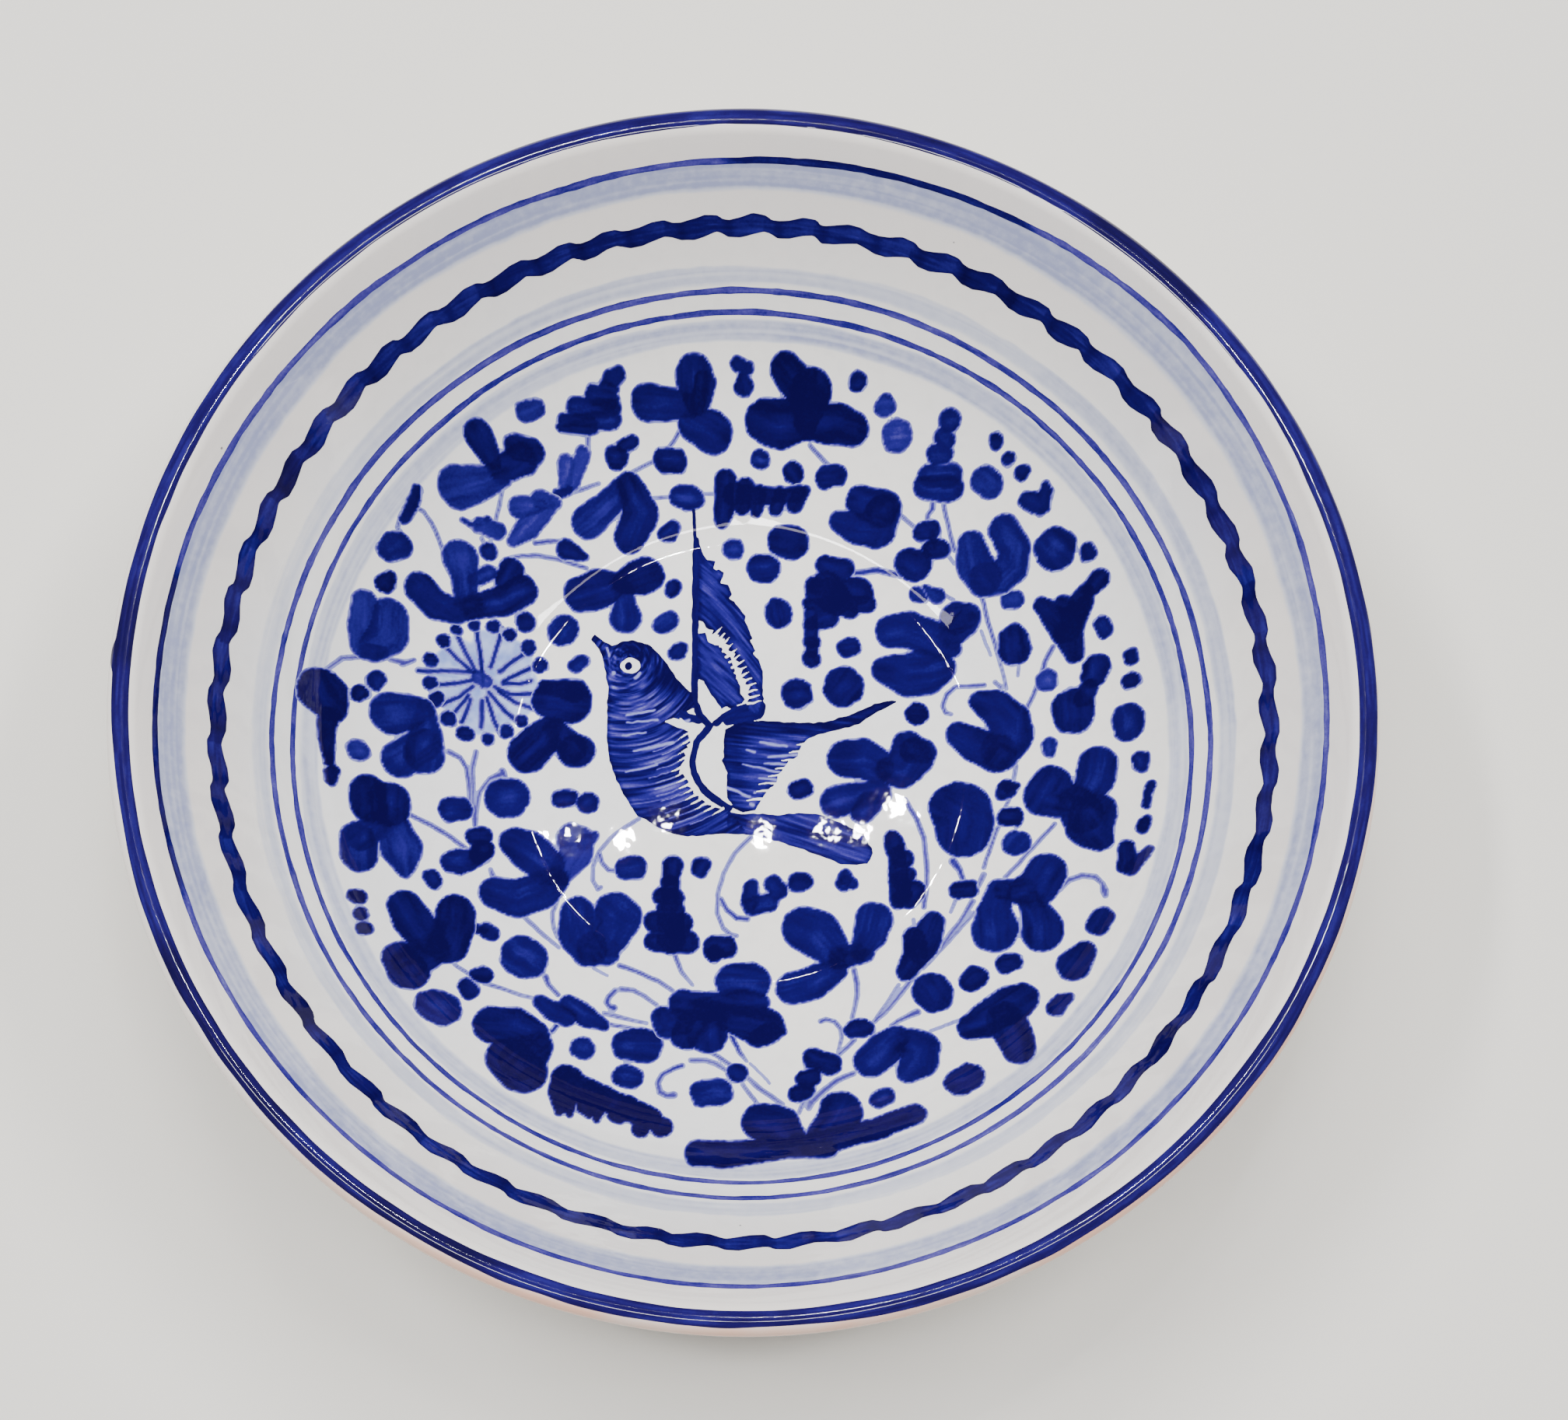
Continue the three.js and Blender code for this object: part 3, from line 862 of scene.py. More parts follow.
# %% Daubs and dots
DAUBS = [
    (.86, (-2, 101.2, 1.9, .5, 100.3, 1.8), (-.3, 96.5, 2.5, -.4, 97.6, 2.1)),
    (.9, (-20.5, 79.3, 3.3, -18, 79, 3.2)),
    (.78, (-17, 70.5, 2.8, -14, 70.2, 3.4)),
    (.88, (-20.3, 61, 2.3, -18.8, 62.3, 2.2)),
    (.72, (-2.8, 57.3, 3.1)),
    (.9, (-33.4, 79.1, 3.1), (-32, 81.5, 1.7, -29.3, 83.1, 1.7)),
    (.56, (-42, 79.5, 1.8, -45, 72, 2.2), (-46, 76.3, 2.5, -46.6, 71.5, 1.8)),
    (.8, (-48.5, 68.8, 1.4, -45.5, 70.3, 1.3)),
    (.9, (-46.3, 55.6, 2.8, -44, 54.8, 2.2, -41, 54, .8)),
    (.66, (-57, 86.6, 2.1, -53.7, 88, 2.2)),
    (.88, (-83.4, 64.8, 1.3, -84.3, 62, 1.5, -85.3, 60, 1.4, -86.8, 57.4, 1.1)),
    (
        .66, (-68, 59.2, 2.2, -63.8, 58.3, 2.3), (-66.5, 60.5, 1.4),
        (-72.5, 59.7, .7, -70, 59, .8, -68, 59.2, 1),
    ),
    (.86, (-66, 53.3, 2.2)),
    (.8, (-90.3, 49.3, 2.8, -88, 51.2, 3.3)),
    (.98, (-91.2, 41.3, 2.3, -90.2, 43.5, 1.5)),
    (.9, (29.1, 96.7, 2.4)),
    (.62, (36.4, 91, 2.6)),
    (.58, (39.6, 84, 4)),
    (.8, (4.2, 79.8, 2.5)),
    (.92, (12.6, 77.2, 2.4, 13.2, 75.8, 2.3)),
    (.86, (21.3, 75.2, 2.9, 24.3, 75.6, 2.7)),
    (
        .9, (46.6, 60.7, 2.6, 48.8, 60.9, 2.5), (49, 56.3, 2.6, 51.3, 56.2, 2.5),
        (48.6, 60, 1.2, 49.6, 57.2, 1.2),
    ),
    (.9, (43.2, 53.2, 4, 44.8, 52.4, 4.3)),
    (.9, (10.3, 59.5, 4.2, 12.6, 59, 4.5)),
    (.86, (4.7, 52.1, 3.9, 5.6, 52.2, 4)),
    (.86, (64.7, 80.2, 2)),
    (.9, (67.9, 75.6, 1.75)),
    (.9, (71.3, 71.8, 2)),
    (.72, (61.8, 71.8, 3.4, 63.3, 70.7, 3.5)),
    (.86, (72.8, 65.6, 2.2, 76, 63.8, 2.5, 77.3, 66.5, 1.9, 77.2, 68, 1.2)),
    (.84, (79.3, 53.5, 4.6, 80.2, 52.5, 4.9)),
    (.88, (87.8, 51.3, 1.8, 88.1, 49.9, 1.9)),
    (.92, (-93.3, 16.4, 2.1, -92.4, 17.4, 2.1)),
    (.92, (-97.2, 12.2, 2, -96.5, 13.1, 2)),
    (
        .95, (-105.3, 11, 5.9, -104, 9, 5), (-104, 5.5, 2.4, -103.8, -2, 2, -103.2, -6, 1.5),
        (-102.6, -8.7, 1.9, -102.6, -11, 1.7),
    ),
    (.64, (-96.7, -1.7, 2.8)),
    (.92, (-18.7, 45.8, 2.2, -18.4, 46.7, 2.2)),
    (.74, (-21.3, 36.5, 2.6, -19.3, 37.6, 2.6)),
    (.88, (-17.2, 28.9, 2.3, -16.8, 29.7, 2.3)),
    (.8, (-47, 34.4, 4.1, -46.7, 35.1, 4)),
    (.76, (-43.4, 25.2, 2.1, -41.6, 26.6, 1.9)),
    (.88, (8.9, 40.3, 3.7, 9.2, 39.3, 3.7)),
    (.86, (27, 30.5, 2.6, 28, 30.6, 2.7)),
    (.86, (25.7, 19.8, 5.2, 26, 20.2, 5.3)),
    (.9, (13.9, 18.2, 4.2)),
    (.98, (44.9, 13, 3)),
    (.8, (45.2, 44.8, 2.2, 47, 43.8, 1.2)),
    (.72, (50.3, 44.3, 2, 47.5, 46.5, .8)),
    (.72, (68.7, 41.6, 2.3, 70.4, 41.6, 2.2)),
    (.9, (69.7, 31.4, 4.2, 69.9, 29.3, 4.4)),
    (.82, (91.2, 32.4, 2, 92.2, 30.5, 1.9)),
    (.96, (98, 23.6, 1.9, 98.1, 22.4, 1.8)),
    (.96, (97.7, 17, 2.1, 98.3, 16.8, 2)),
    (.88, (90, 21.9, 3.5, 89, 19.4, 3.1), (84.2, 12, 5.4, 84.3, 10.6, 5.2), (86.6, 14.5, 3, 88.5, 17.5, 2.3)),
    (.6, (78, 20.3, 2.9)),
    (.72, (78.4, 3, 2.1, 78.3, 1.3, 1.6)),
    (.8, (97, 7.4, 3.9, 97.2, 5.4, 3.8)),
    (.8, (99.7, -3.3, 2, 99.6, -5.2, 2)),
    (.94, (101.8, -10.9, 1.2, 101.4, -12.3, 1.2, 100.8, -15.8, 1)),
    (.94, (100.1, -19.8, 1.4, 99.4, -21.8, 1.5)),
    (.9, (95.7, -26.3, 2, 95.7, -31, 2.5), (100.7, -27.7, 1.1, 96.5, -32, 2.1)),
    (.94, (66.9, -8, 2.4, 67.4, -7.6, 2.6), (67.5, -7, 1.8, 70, -6.9, .8)),
    (.97, (67.5, -15, 2.6, 69.3, -15, 2.5)),
    (.72, (69.3, -22.3, 3.4, 69.7, -21.9, 3.4)),
    (.84, (-74, -14.2, 3.5, -71.5, -14, 3)),
    (.82, (-60.5, -10.1, 5.4, -59.8, -10, 5.4)),
    (.98, (-68.3, -21.2, 2.2, -65.8, -20.6, 2.5), (-66, -24.5, 3.2, -67.3, -26.2, 2.2)),
    (.84, (-73, -28.3, 3.1, -71.5, -28.2, 3.6, -68.5, -26.8, 2.6)),
    (.88, (-78.2, -32.6, 2.2, -77.5, -33.6, 2.2)),
    (.96, (-95.5, -40.1, 1.9, -94.7, -40.6, 1.9)),
    (.96, (-93.9, -44.9, 1.9)),
    (.96, (-92.8, -48.6, 2)),
    (.84, (-64.2, -45.7, 2.3, -63.2, -46.2, 2.2), (-67, -45.5, 1.2, -65, -45.7, 1.6)),
    (.78, (-55.5, -52, 5.3, -54.2, -52.8, 5.4)),
    (.92, (-46.5, -10, 2.5, -44.5, -9.9, 2.5), (-40, -11.2, 2.6, -39.7, -11, 2.7)),
    (.82, (-29.7, -28.2, 2.9, -27.3, -28, 3.1)),
    (.9, (-10.8, -28.2, 2.3, -10.3, -27.3, 2.3)),
    (.96, (-7, -48.8, 3.3, -4.3, -48.5, 2.9), (-6.8, -50, 2.5)),
    (.92, (14, -7.5, 2.5, 15.2, -7.2, 2.6)),
    (
        .84, (2.3, -33, 2.1, 2, -37.3, 2.3), (2.3, -37.7, 2.6, 6.5, -37, 2.6),
        (8, -32.3, 2.5, 9.3, -33.5, 2.5, 8.5, -34.7, 1.9),
    ),
    (.92, (14.3, -31.6, 2.8, 15.3, -31.5, 2.6)),
    (.84, (26.2, -30.2, 2, 25.5, -32.2, 2), (27.8, -32, 1.6, 26, -31, 1.8)),
    (.98, (54.7, -33.7, 2.3, 57.7, -33.7, 2.4)),
    (.86, (88, -45.9, 2.8, 89.2, -43.8, 2.6)),
    (.92, (65.8, -54.2, 2.9, 67.3, -54, 2.4)),
    (.94, (-65.8, -58, 1.9, -64.4, -57.8, 2.3)),
    (.9, (-68.7, -61, 2.1, -67.6, -62.2, 2.4)),
    (.78, (-75.6, -67, 4.4, -73.8, -68, 4.6)),
    (
        .84, (-50.3, -64, 1.8, -47.5, -66, 2.7, -43.5, -67.8, 2.6),
        (-43.7, -64, 2.2, -39.5, -67, 3.1, -35, -69.5, 1.7),
    ),
    (.78, (-40, -75.9, 2.9, -39.4, -76, 3)),
    (.84, (-28, -74.6, 4.4, -24.3, -74.6, 4.5)),
    (.84, (-28.8, -83, 3.2, -27.4, -83.3, 3.2)),
    (.78, (-9.5, -87, 3.7, -6.2, -86.7, 3.8)),
    (.9, (-1.3, -81.7, 2.6, -.8, -82, 2.4)),
    (.94, (17.5, -77.7, 2.8, 22, -79.5, 2.8)),
    (.96, (16, -83.2, 2.7, 17.3, -82.5, 2.4)),
    (.96, (13.5, -87.4, 2.3, 15.8, -86.3, 2)),
    (.98, (27.6, -70.5, 2.5, 30.4, -69.9, 2.5)),
    (.82, (33.2, -89.4, 2.3, 35.4, -88.5, 2.2)),
    (.84, (52.8, -85.7, 3.6, 55.5, -84, 3.6)),
    (.88, (47.3, -60.5, 5, 47.9, -61.5, 4.9)),
    (.92, (57, -58.2, 3.1, 58.3, -57.4, 3.1)),
    (.84, (76.7, -67.5, 2.2, 78.3, -65.5, 2.1, 80.2, -64.4, 1.1)),
]
DAISY_DOTS = (
    (-77.2, 29.3, 1.9), (-74, 32.8, 1.7), (-69.3, 34.3, 1.5), (-64.6, 34.5, 1.8), (-60.5, 32.8, 1.9),
    (-56.5, 36.5, 2.6), (-55.8, 29.9, 2.2), (-52.6, 25.4, 2.3), (-57, 10.5, 1.8), (-61, 7.6, 1.9),
    (-65.3, 5.3, 1.7), (-71, 6, 2.3), (-75.3, 9.3, 2.2), (-78.4, 14.1, 2), (-80.2, 18.3, 1.9),
    (-80.2, 24.2, 2.1),
)
DAUBS += [(0.88, dot) for dot in DAISY_DOTS]
print(len(DAUBS), "daubs")

# %% Little trees of stacked touches
TREES = [
    (
        .84, (-34.6, 96.3, 2.3, -32.6, 97.6, 1.8), (-36, 94.5, 1.9, -34, 94.3, 1.5),
        (-39, 92.5, 2.6, -35, 91.8, 2.6), (-43.8, 89.3, 2.5, -34.6, 90.3, 2.6),
        (-46.8, 86.2, 1.8, -34.6, 87.9, 2.6), (-47.7, 84.6, 1.2, -40, 86, 2.4),
    ),
    (
        .94, (-5, 74.6, 2.9, -5.2, 68, 2.8, -5.8, 64.3, 1.9), (.3, 73, 2.5, -.5, 68.5, 2.5),
        (4, 71.3, 2.4, 3.2, 67, 1.6), (9.3, 71.2, 2.3, 8.3, 67.9, 2), (14.5, 71.3, 2.4, 13, 68.6, 2.2),
        (15.8, 72, 1.5), (-3, 71.5, 3.3, 4, 70.8, 2.4, 14, 71, 2.2),
    ),
    (
        .78, (52.9, 86.2, 2.9), (51.3, 83, 2.3, 52.3, 82, 2.2), (49.7, 79, 2.6, 51.8, 78.8, 2.4),
        (48, 74, 3, 53.5, 73.5, 3.2), (47, 71.8, 3.1, 53.5, 70.8, 3.6),
    ),
    (
        .94, (21.5, 53, 2.8, 26, 52, 3), (18.5, 47.4, 2.7, 30, 45.8, 4), (17.4, 42.3, 2.2, 32, 42.6, 2.6),
        (22, 48, 4, 27.5, 41.4, 3), (17.5, 37, 2.2, 22, 38.7, 3), (17.3, 32, 2.1, 18.2, 32, 2),
        (17.5, 27.8, 2.4, 17.7, 27.4, 2.5), (20, 46, 4, 24, 43, 4.2), (17.6, 40, 2, 17.8, 29, 1.9),
    ),
    (
        .92, (76.9, 39.6, 2.2, 83, 33, 4.4), (81.5, 39.4, 1.9, 84.5, 36, 3.6),
        (90.5, 43.6, 2.7, 88.2, 41.5, 2.2), (87.5, 41, 2.4, 85.3, 38.3, 2.9), (87, 38.5, 2.4, 84.5, 35, 3.5),
        (83, 32, 3.9, 84.8, 26, 2.4),
    ),
    (
        .95, (-17.8, -27.6, 2.7, -18.2, -31, 2.3), (-20.3, -35.5, 2.6, -17.5, -35.7, 2.8),
        (-18.3, -32, 2.6, -18.5, -38, 2.8), (-22.3, -42, 2.8, -15.3, -42.5, 2.9),
        (-22.3, -47.2, 2.7, -14, -47.3, 3.1), (-18.3, -39, 3.6, -18, -46.5, 4),
    ),
    (
        .95, (38.2, -20.3, 2.4, 39, -23, 2.6), (41.3, -25.5, 2.6, 39.2, -26, 2.2),
        (39.3, -31, 2.4, 41.8, -29.8, 2.4), (39.6, -36, 2.6, 43.6, -33.8, 3, 42, -36, 2.6),
        (39.5, -24, 2.4, 40.3, -35, 3.2),
    ),
    (
        .98, (-43, -84.2, 3.9, -43.2, -88, 4.2, -44.6, -93.3, 1.2), (-42.8, -90, 2.8, -42, -94, .8),
        (-37.5, -87.3, 3, -38.2, -91.8, 2.4, -37.2, -94, 1),
        (-34, -88.3, 2.9, -35.2, -93, 1.9, -35.5, -95.2, .9), (-28, -91.2, 3.1, -30.3, -93.6, 2.5),
        (-23.5, -93.6, 2.9, -24.8, -97.4, 2.1), (-19.7, -96.4, 2.9),
        (-42, -86, 4, -30, -91, 3.3, -22.5, -94.3, 3.2),
    ),
]
print(len(TREES), "trees")

# %% Stems, drawn with the brush's tip
STEMS = [
    (.5, (-16.8, 86.5, .45, -18.4, 84, .4, -20, 82, .4)),
    (.45, (-24, 78.6, .35, -29.5, 75.7, .35)),
    (.45, (-24, 69.8, .3, -20, 70.2, .3)),
    (.45, (-11.5, 71.3, .3, -7.5, 71.3, .3)),
    (.4, (-38, 72.5, .35, -44.5, 70, .4)),
    (.3, (-40.7, 84, .6, -40.7, 80, .5)),
    (.4, (-54.2, 56.5, .5, -51, 57.3, .5, -48, 57.7, .4)),
    (.42, (-62, 51.8, .4, -58, 53, .45, -53, 53.6, .45, -48, 53, .5, -41, 51.3, .4)),
    (.42, (-83.5, 60.7, .4, -82, 60.2, .4, -80, 57.8, .4, -78.3, 54.5, .4, -77.2, 51.5, .4)),
    (.42, (-87.5, 57.5, .35, -88.3, 55, .35, -87.5, 54.3, .35)),
    (.4, (-62.5, 68.3, .35, -63.5, 64, .35, -64.2, 61.2, .35)),
    (.4, (-67.8, 56.2, .35, -67, 55, .35)),
    (.45, (17, 83, .45, 19.5, 80.5, .45, 22, 78.3, .4)),
    (.42, (41, 64.9, .4, 44.5, 62, .4)),
    (.4, (49, 67.5, .6, 49, 66, .6, 47.9, 64.8, .5, 47.7, 63.3, .5)),
    (.42, (51.8, 67, .45, 53, 62, .45, 54.8, 55.5, .45)),
    (.55, (29, 51, .75, 35, 51.6, .75, 41, 50.1, .7)),
    (.36, (53.2, 54.2, .25, 54.8, 52, .25)),
    (.45, (-90, 22.8, .5, -86.5, 22.6, .6), (-87, 22.3, .7, -84.2, 23.5, .45)),
    (.34, (-96.5, 22.3, .5, -101, 20.7, .45, -104.6, 16.8, .4)),
    (.5, (62.3, 20.3, .45, 55, 20.2, .4, 52.6, 18.3, .5, 51.6, 15, .5, 52.3, 13.3, .45, 53.7, 12.8, .3)),
    (.42, (61.5, 44, .45, 63, 38, .42, 65, 31, .4, 66, 27, .35, 67.3, 22, .3, 67.8, 19, .3)),
    (.3, (61.5, 34.5, .2, 64, 28, .15)),
    (.3, (71, 25, .25, 70.8, 22, .2)),
    (.42, (79.5, 28.5, .6, 77.5, 25, .5, 76, 20, .45, 74.5, 16.5, .45, 73, 13.5, .45)),
    (.4, (48, 47, .3, 52, 44.5, .3, 54.5, 43, .3)),
    (.38, (69.9, -1.5, .4, 69.4, -4.8, .35)),
    (.34, (-75.2, .8, .65, -72.3, -.4, .5, -70.6, -3, .5, -69.9, -7, .5, -69.6, -12, .4)),
    (.38, (-68.3, 1.5, .5, -69.2, -3, .45, -68.8, -10, .45, -68, -17.8, .45)),
    (
        .4, (-61.5, -3.6, .8, -64.8, -5.3, .45, -67.2, -9, .45, -67.8, -14, .45, -67.9, -18, .4),
        (-61.7, -3, .7, -61, -4.4, .5),
    ),
    (.42, (-83.8, -16.9, .5, -79, -18.8, .5, -74, -21.6, .5, -70.2, -24.2, .5)),
    (.36, (-54.8, -41.7, .4, -51.5, -45, .4, -46.3, -49.2, .3)),
    (.42, (-71.5, -55.5, .35, -68, -57.7, .35)),
    (.36, (-64, -60, .4, -60, -61, .4, -55, -62.5, .35, -52, -63.1, .3)),
    (.5, (-63.8, -29.4, .35, -63.2, -31, .5)),
    (
        .34,
        (
            -26.5, -15.3, .35, -30, -17.5, .3, -34, -20.5, .3, -36.6, -24, .35, -38.1, -28, .35,
            -38, -31.5, .35, -36.7, -33.7, .4, -36, -33.2, .4,
        ),
    ),
    (.45, (-36.3, -24.9, .45, -35.7, -27, .45, -34, -28.7, .45, -32.3, -29, .4)),
    (
        .34,
        (
            2, -20, .4, -2, -24, .4, -5, -29.5, .4, -6.3, -35, .4, -6.4, -40, .4, -5, -43.5, .4,
            -3, -45.3, .45, -1.5, -45.6, .4,
        ),
    ),
    (.5, (-5.5, -36.2, .5, -4, -39, .5, -1.5, -41, .55, 1.2, -41.3, .6)),
    (.34, (-47, -36.7, .4, -48.2, -40, .4, -47.7, -44, .4, -46.7, -46.5, .3)),
    (.28, (-37.5, -54.4, .2, -34, -56.2, .15)),
    (.4, (-31, -53.4, .5, -27, -54.8, .45, -21, -57.5, .45, -17.5, -59.8, .4)),
    (.42, (-17, -50.8, .5, -15.2, -55, .4, -12.5, -58.3, .2)),
    (
        .38,
        (
            41.5, -10, .5, 44.5, -15, .55, 46.3, -20, .55, 46.9, -26, .55, 46.8, -31, .5, 46.5, -35, .5,
            46, -38, .5,
        ),
    ),
    (.5, (53.6, -26.1, 1, 55.2, -28.3, .7, 56, -31, .5)),
    (.34, (54, -36.3, .3, 52.7, -39.5, .2)),
    (
        .32,
        (61.2, -29.9, .6, 59.6, -33, .5),
        (
            58.2, -37, .6, 55, -42.3, .5, 50, -48.7, .5, 44.5, -54.6, .5, 40, -60.5, .5, 36, -65.5, .45,
            33, -68.3, .4,
        ),
    ),
    (.34, (58.5, -40, .35, 52, -47.3, .35, 45.5, -54.4, .3)),
    (.34, (39.3, -58.5, .3, 36.5, -63, .3, 33.5, -67.5, .3)),
    (.38, (28.2, -54.3, .6, 28.9, -58, .55, 28.9, -61, .5, 28.3, -64, .45, 27.4, -67.2, .4)),
    (.42, (19.6, -67.8, .5, 21, -67.3, .45, 23, -68, .45, 24.6, -70, .45, 24.8, -72.5, .35, 23.7, -76.2, .2)),
    (.44, (43.6, -66, .8, 41, -67.1, .5, 37, -69.4, .4)),
    (.28, (53.5, -68.7, .25, 50, -70, .22, 46.7, -71.3, .2)),
    (.4, (28, -73, .5, 25.5, -75.5, .45, 23.5, -77.3, .4)),
    (
        .34, (27.4, -82, .6, 23.5, -83.7, .65, 20, -86.5, .65, 17, -89.5, .7),
        (16.7, -89.7, .9, 16.3, -91.2, .5),
    ),
    (.36, (15, -89.5, .45, 13.8, -92.4, .35)),
    (.34, (43.4, -41.2, .3, 43.6, -42.8, .3)),
    (.42, (-49.3, -57.2, .7, -48.5, -59.3, .5, -46, -61.8, .45)),
    (.36, (-34.5, -66.3, .4, -30, -67.3, .4, -24, -68.7, .25)),
    (.45, (-33, -69.2, .4, -29, -69.8, .35, -25, -70.5, .3)),
    (.5, (-46, -70, .6, -47, -71.5, .55, -49, -72.7, .4)),
    (.45, (-31.9, -60.1, .6, -33.5, -62, .6, -34, -63.5, .6, -33.2, -64.6, .6, -32.2, -64.8, .8)),
    (.36, (-30.5, -59.7, .6, -27.5, -59.9, .5, -24.5, -61.5, .45, -21.5, -63.6, .4)),
    (.5, (-2.6, -71.7, .6, -.8, -76, .5, 1.1, -78.5, .25)),
    (.38, (-10, -75.2, .4, -6, -77.3, .45, -2.5, -79.7, .4)),
    (.38, (-12.6, -78.4, .55, -9, -78.4, .5, -6.5, -79.2, .5, -3.8, -81, .4)),
    (.36, (.8, -82.5, .4, 4, -85.5, .5, 9.8, -90, .5)),
    (.36, (0, -84.6, .35, 1.8, -87.2, .4, 3.5, -89.7, .4)),
    (.28, (2, -79.2, .15, 4.5, -81.8, .15, 6.7, -84.5, .12)),
    (
        .42,
        (
            -14.9, -79.8, .6, -17, -80.5, .55, -19.7, -82.3, .55, -20.9, -84.8, .55, -20.3, -87, .6,
            -18.5, -87.9, .6, -16.9, -87.7, .8,
        ),
    ),
    (.4, (68, -10.5, .35, 67, -12.5, .35)),
    (.4, (65.2, -17.5, .4, 63, -23, .4, 61.3, -28, .35)),
    (.4, (79, -17.7, .4, 73, -24.2, .4, 66.5, -31, .4)),
    (
        .38,
        (
            75.3, -38.8, .7, 79, -35.5, .65, 82, -33, .6, 85, -32.3, .6, 88, -33, .55, 89.7, -35, .45,
            90, -37, .8, 90.2, -38.5, .5,
        ),
    ),
    (.45, (65, 20.8, .4, 66.5, 19.3, .4)),
]
DAISY_RAYS = [
    (-76, 27.5, -69.5, 22), (-73.5, 31, -69, 22.5), (-68.8, 33, -67.3, 23),
    (-62.5, 34.3, -63.5, 30, -65.2, 24), (-57, 28, -63, 23), (-55.2, 24.5, -62, 20.5),
    (-62, 20, -58, 20.2, -55, 21.2), (-64, 19, -60, 17.3, -53, 17.7), (-63, 18, -59, 15.3, -54, 13.8),
    (-65.5, 17.5, -61, 12.5, -58, 10.3), (-66, 16, -64, 10, -62, 6.5), (-67.2, 15, -67.2, 8),
    (-70, 15, -72, 9), (-70.5, 16, -74, 11.3), (-69.5, 18.5, -73, 15.5, -77, 13.2),
    (-69.5, 20.2, -74, 18.8, -78, 17.9), (-70, 22.2, -75, 22, -80, 21.3, -83, 21.1),
]
for ray in DAISY_RAYS:
    STEMS.append((0.64, sum(((ray[k], ray[k + 1], 0.68) for k in range(0, len(ray), 2)), ())))
STEMS.append((0.55, (-68.2, 21, 2, -66.2, 20.1, 1.8), (-67.2, 19, 0.8, -67.3, 22.6, 0.8)))
print(len(STEMS), "stems")

# %% [markdown]
# Each table becomes one film on a grid of its own. Stems are drawn first and lie lowest; the daubs, the
# little trees and the leaves follow, each standing a hair higher, so no two films share a face.

# %% Paint the stems, daubs, trees and leaves
STEP, REACH = 0.5, 112.0  # millimetres between a grid's points, and from the axis to its edge


def lay_marks(name, marks, seed, proud, streak=0.12, wobble=0.22, step=STEP):
    grid = np.arange(-REACH, REACH + step / 2, step)
    edge, load = paint_marks(grid, grid, marks, wobble=wobble, seed=seed, streak=streak)
    return painted_film(
        name, brushed_cobalt, "cobalt", grid, grid, edge, on_plan, {"load": load}, proud=proud
    )


lay_marks("painted_stems", STEMS, 60, 0.03, streak=0.12, wobble=0.12, step=0.4)
lay_marks("painted_daubs", DAUBS, 34, 0.04, wobble=0.36)
lay_marks("painted_trees", TREES, 47, 0.05, streak=0.08)
lay_marks("painted_leaves", LEAVES, 21, 0.06)

# %% [markdown]
# The bird is the heart of the painting: a dark head and back, a belly hatched with quick strokes, one
# wing raised, one stretched out, and a broad tail. Its outline was set down point after point,
# and its feathers are streaks of fuller and drier brush along the way the strokes ran.

# %% The bird's outlines
BODY = (
    -39.5, 32.3, -38.4, 33.7, -36.5, 32, -34, 30.6, -33, 31, -31.5, 32, -29, 32.3, -26.5, 31.8, -24, 30.5,
    -22, 28.5, -20, 26, -17.5, 22.5, -15, 19.5, -12.6, 17.2, -12, 14.5, -15.5, 13, -16.5, 11, -18, 11.6,
    -20.4, 10.4, -17.6, 9.2, -14, 8, -14.2, 6.6, -13.5, 5, -14.6, 4.2, -14, 3, -15.2, 2.2, -14.5, 1,
    -15.8, -1, -16.4, -3.4, -15.7, -3, -13.8, -5.5, -14, -6.6, -12.5, -7.3, -12.6, -8.6, -11.3, -9,
    -11.4, -10.2, -10.2, -10.2, -9, -11.3, -7.5, -12, -5.5, -12.5, -3.5, -13, -1, -16, 1, -19.3, -1, -19,
    -5, -19.2, -10, -19.5, -14, -19.9, -17, -19.5, -22, -17.5, -25, -15.3, -27, -14.5, -28.5, -12, -30.5, -9,
    -32.5, -5, -34.3, 0, -35, 5, -35.1, 12, -35, 20, -35.6, 23, -36.5, 27.5, -37.5, 30, -38.6, 31.2,
)
RAISED_WING = (
    -11.8, 54.6, -7.5, 54, -8, 52, -7.2, 51.5, -6.5, 51.8, -5, 50.8, -5.8, 49, -6, 48, -4, 47.5, -3, 45,
    -4, 44, -2.5, 43, -1.5, 41.5, .5, 39, .3, 37.7, 1.5, 35, 2.3, 33, 1.5, 32.3, 2.5, 31, 3.2, 29.5,
    2.5, 28.8, 4, 27, 5, 24, 5, 23, 4.8, 20.5, 5.2, 19, 5, 17.3, 5.3, 16, 4.8, 14, 3.8, 11, 2, 12.6, .5, 14.5,
    1, 16, 1.8, 17, 1, 18.4, 1.8, 20, .4, 20.6, 1, 21.8, -.8, 22.6, -.2, 24.5, -1.8, 25.2, -1, 26.7,
    -2.9, 27.6, -2, 28.8, -4, 29.6, -3.5, 31, -5.4, 31.8, -4.8, 33, -6.6, 33.2, -6.3, 34, -8.2, 34, -8, 35,
    -10, 35.9, -10.5, 37.5, -11.8, 37.9,
)
UNDER_WING = (
    -11.9, 34, -10, 34.5, -9, 32, -7.5, 31, -6, 31, -5, 29, -3.5, 28, -2.7, 26, -2, 23, -.8, 20, -.8,
    18, 0, 17.3, .5, 16.5, -.5, 15.3, -1.8, 14.8, -3, 13.8, -4.2, 14.6, -5.5, 13.8, -6.3, 15, -7.2,
    16.3, -8.5, 18, -9.5, 19.7, -10.2, 21.5, -11.9, 22,
)
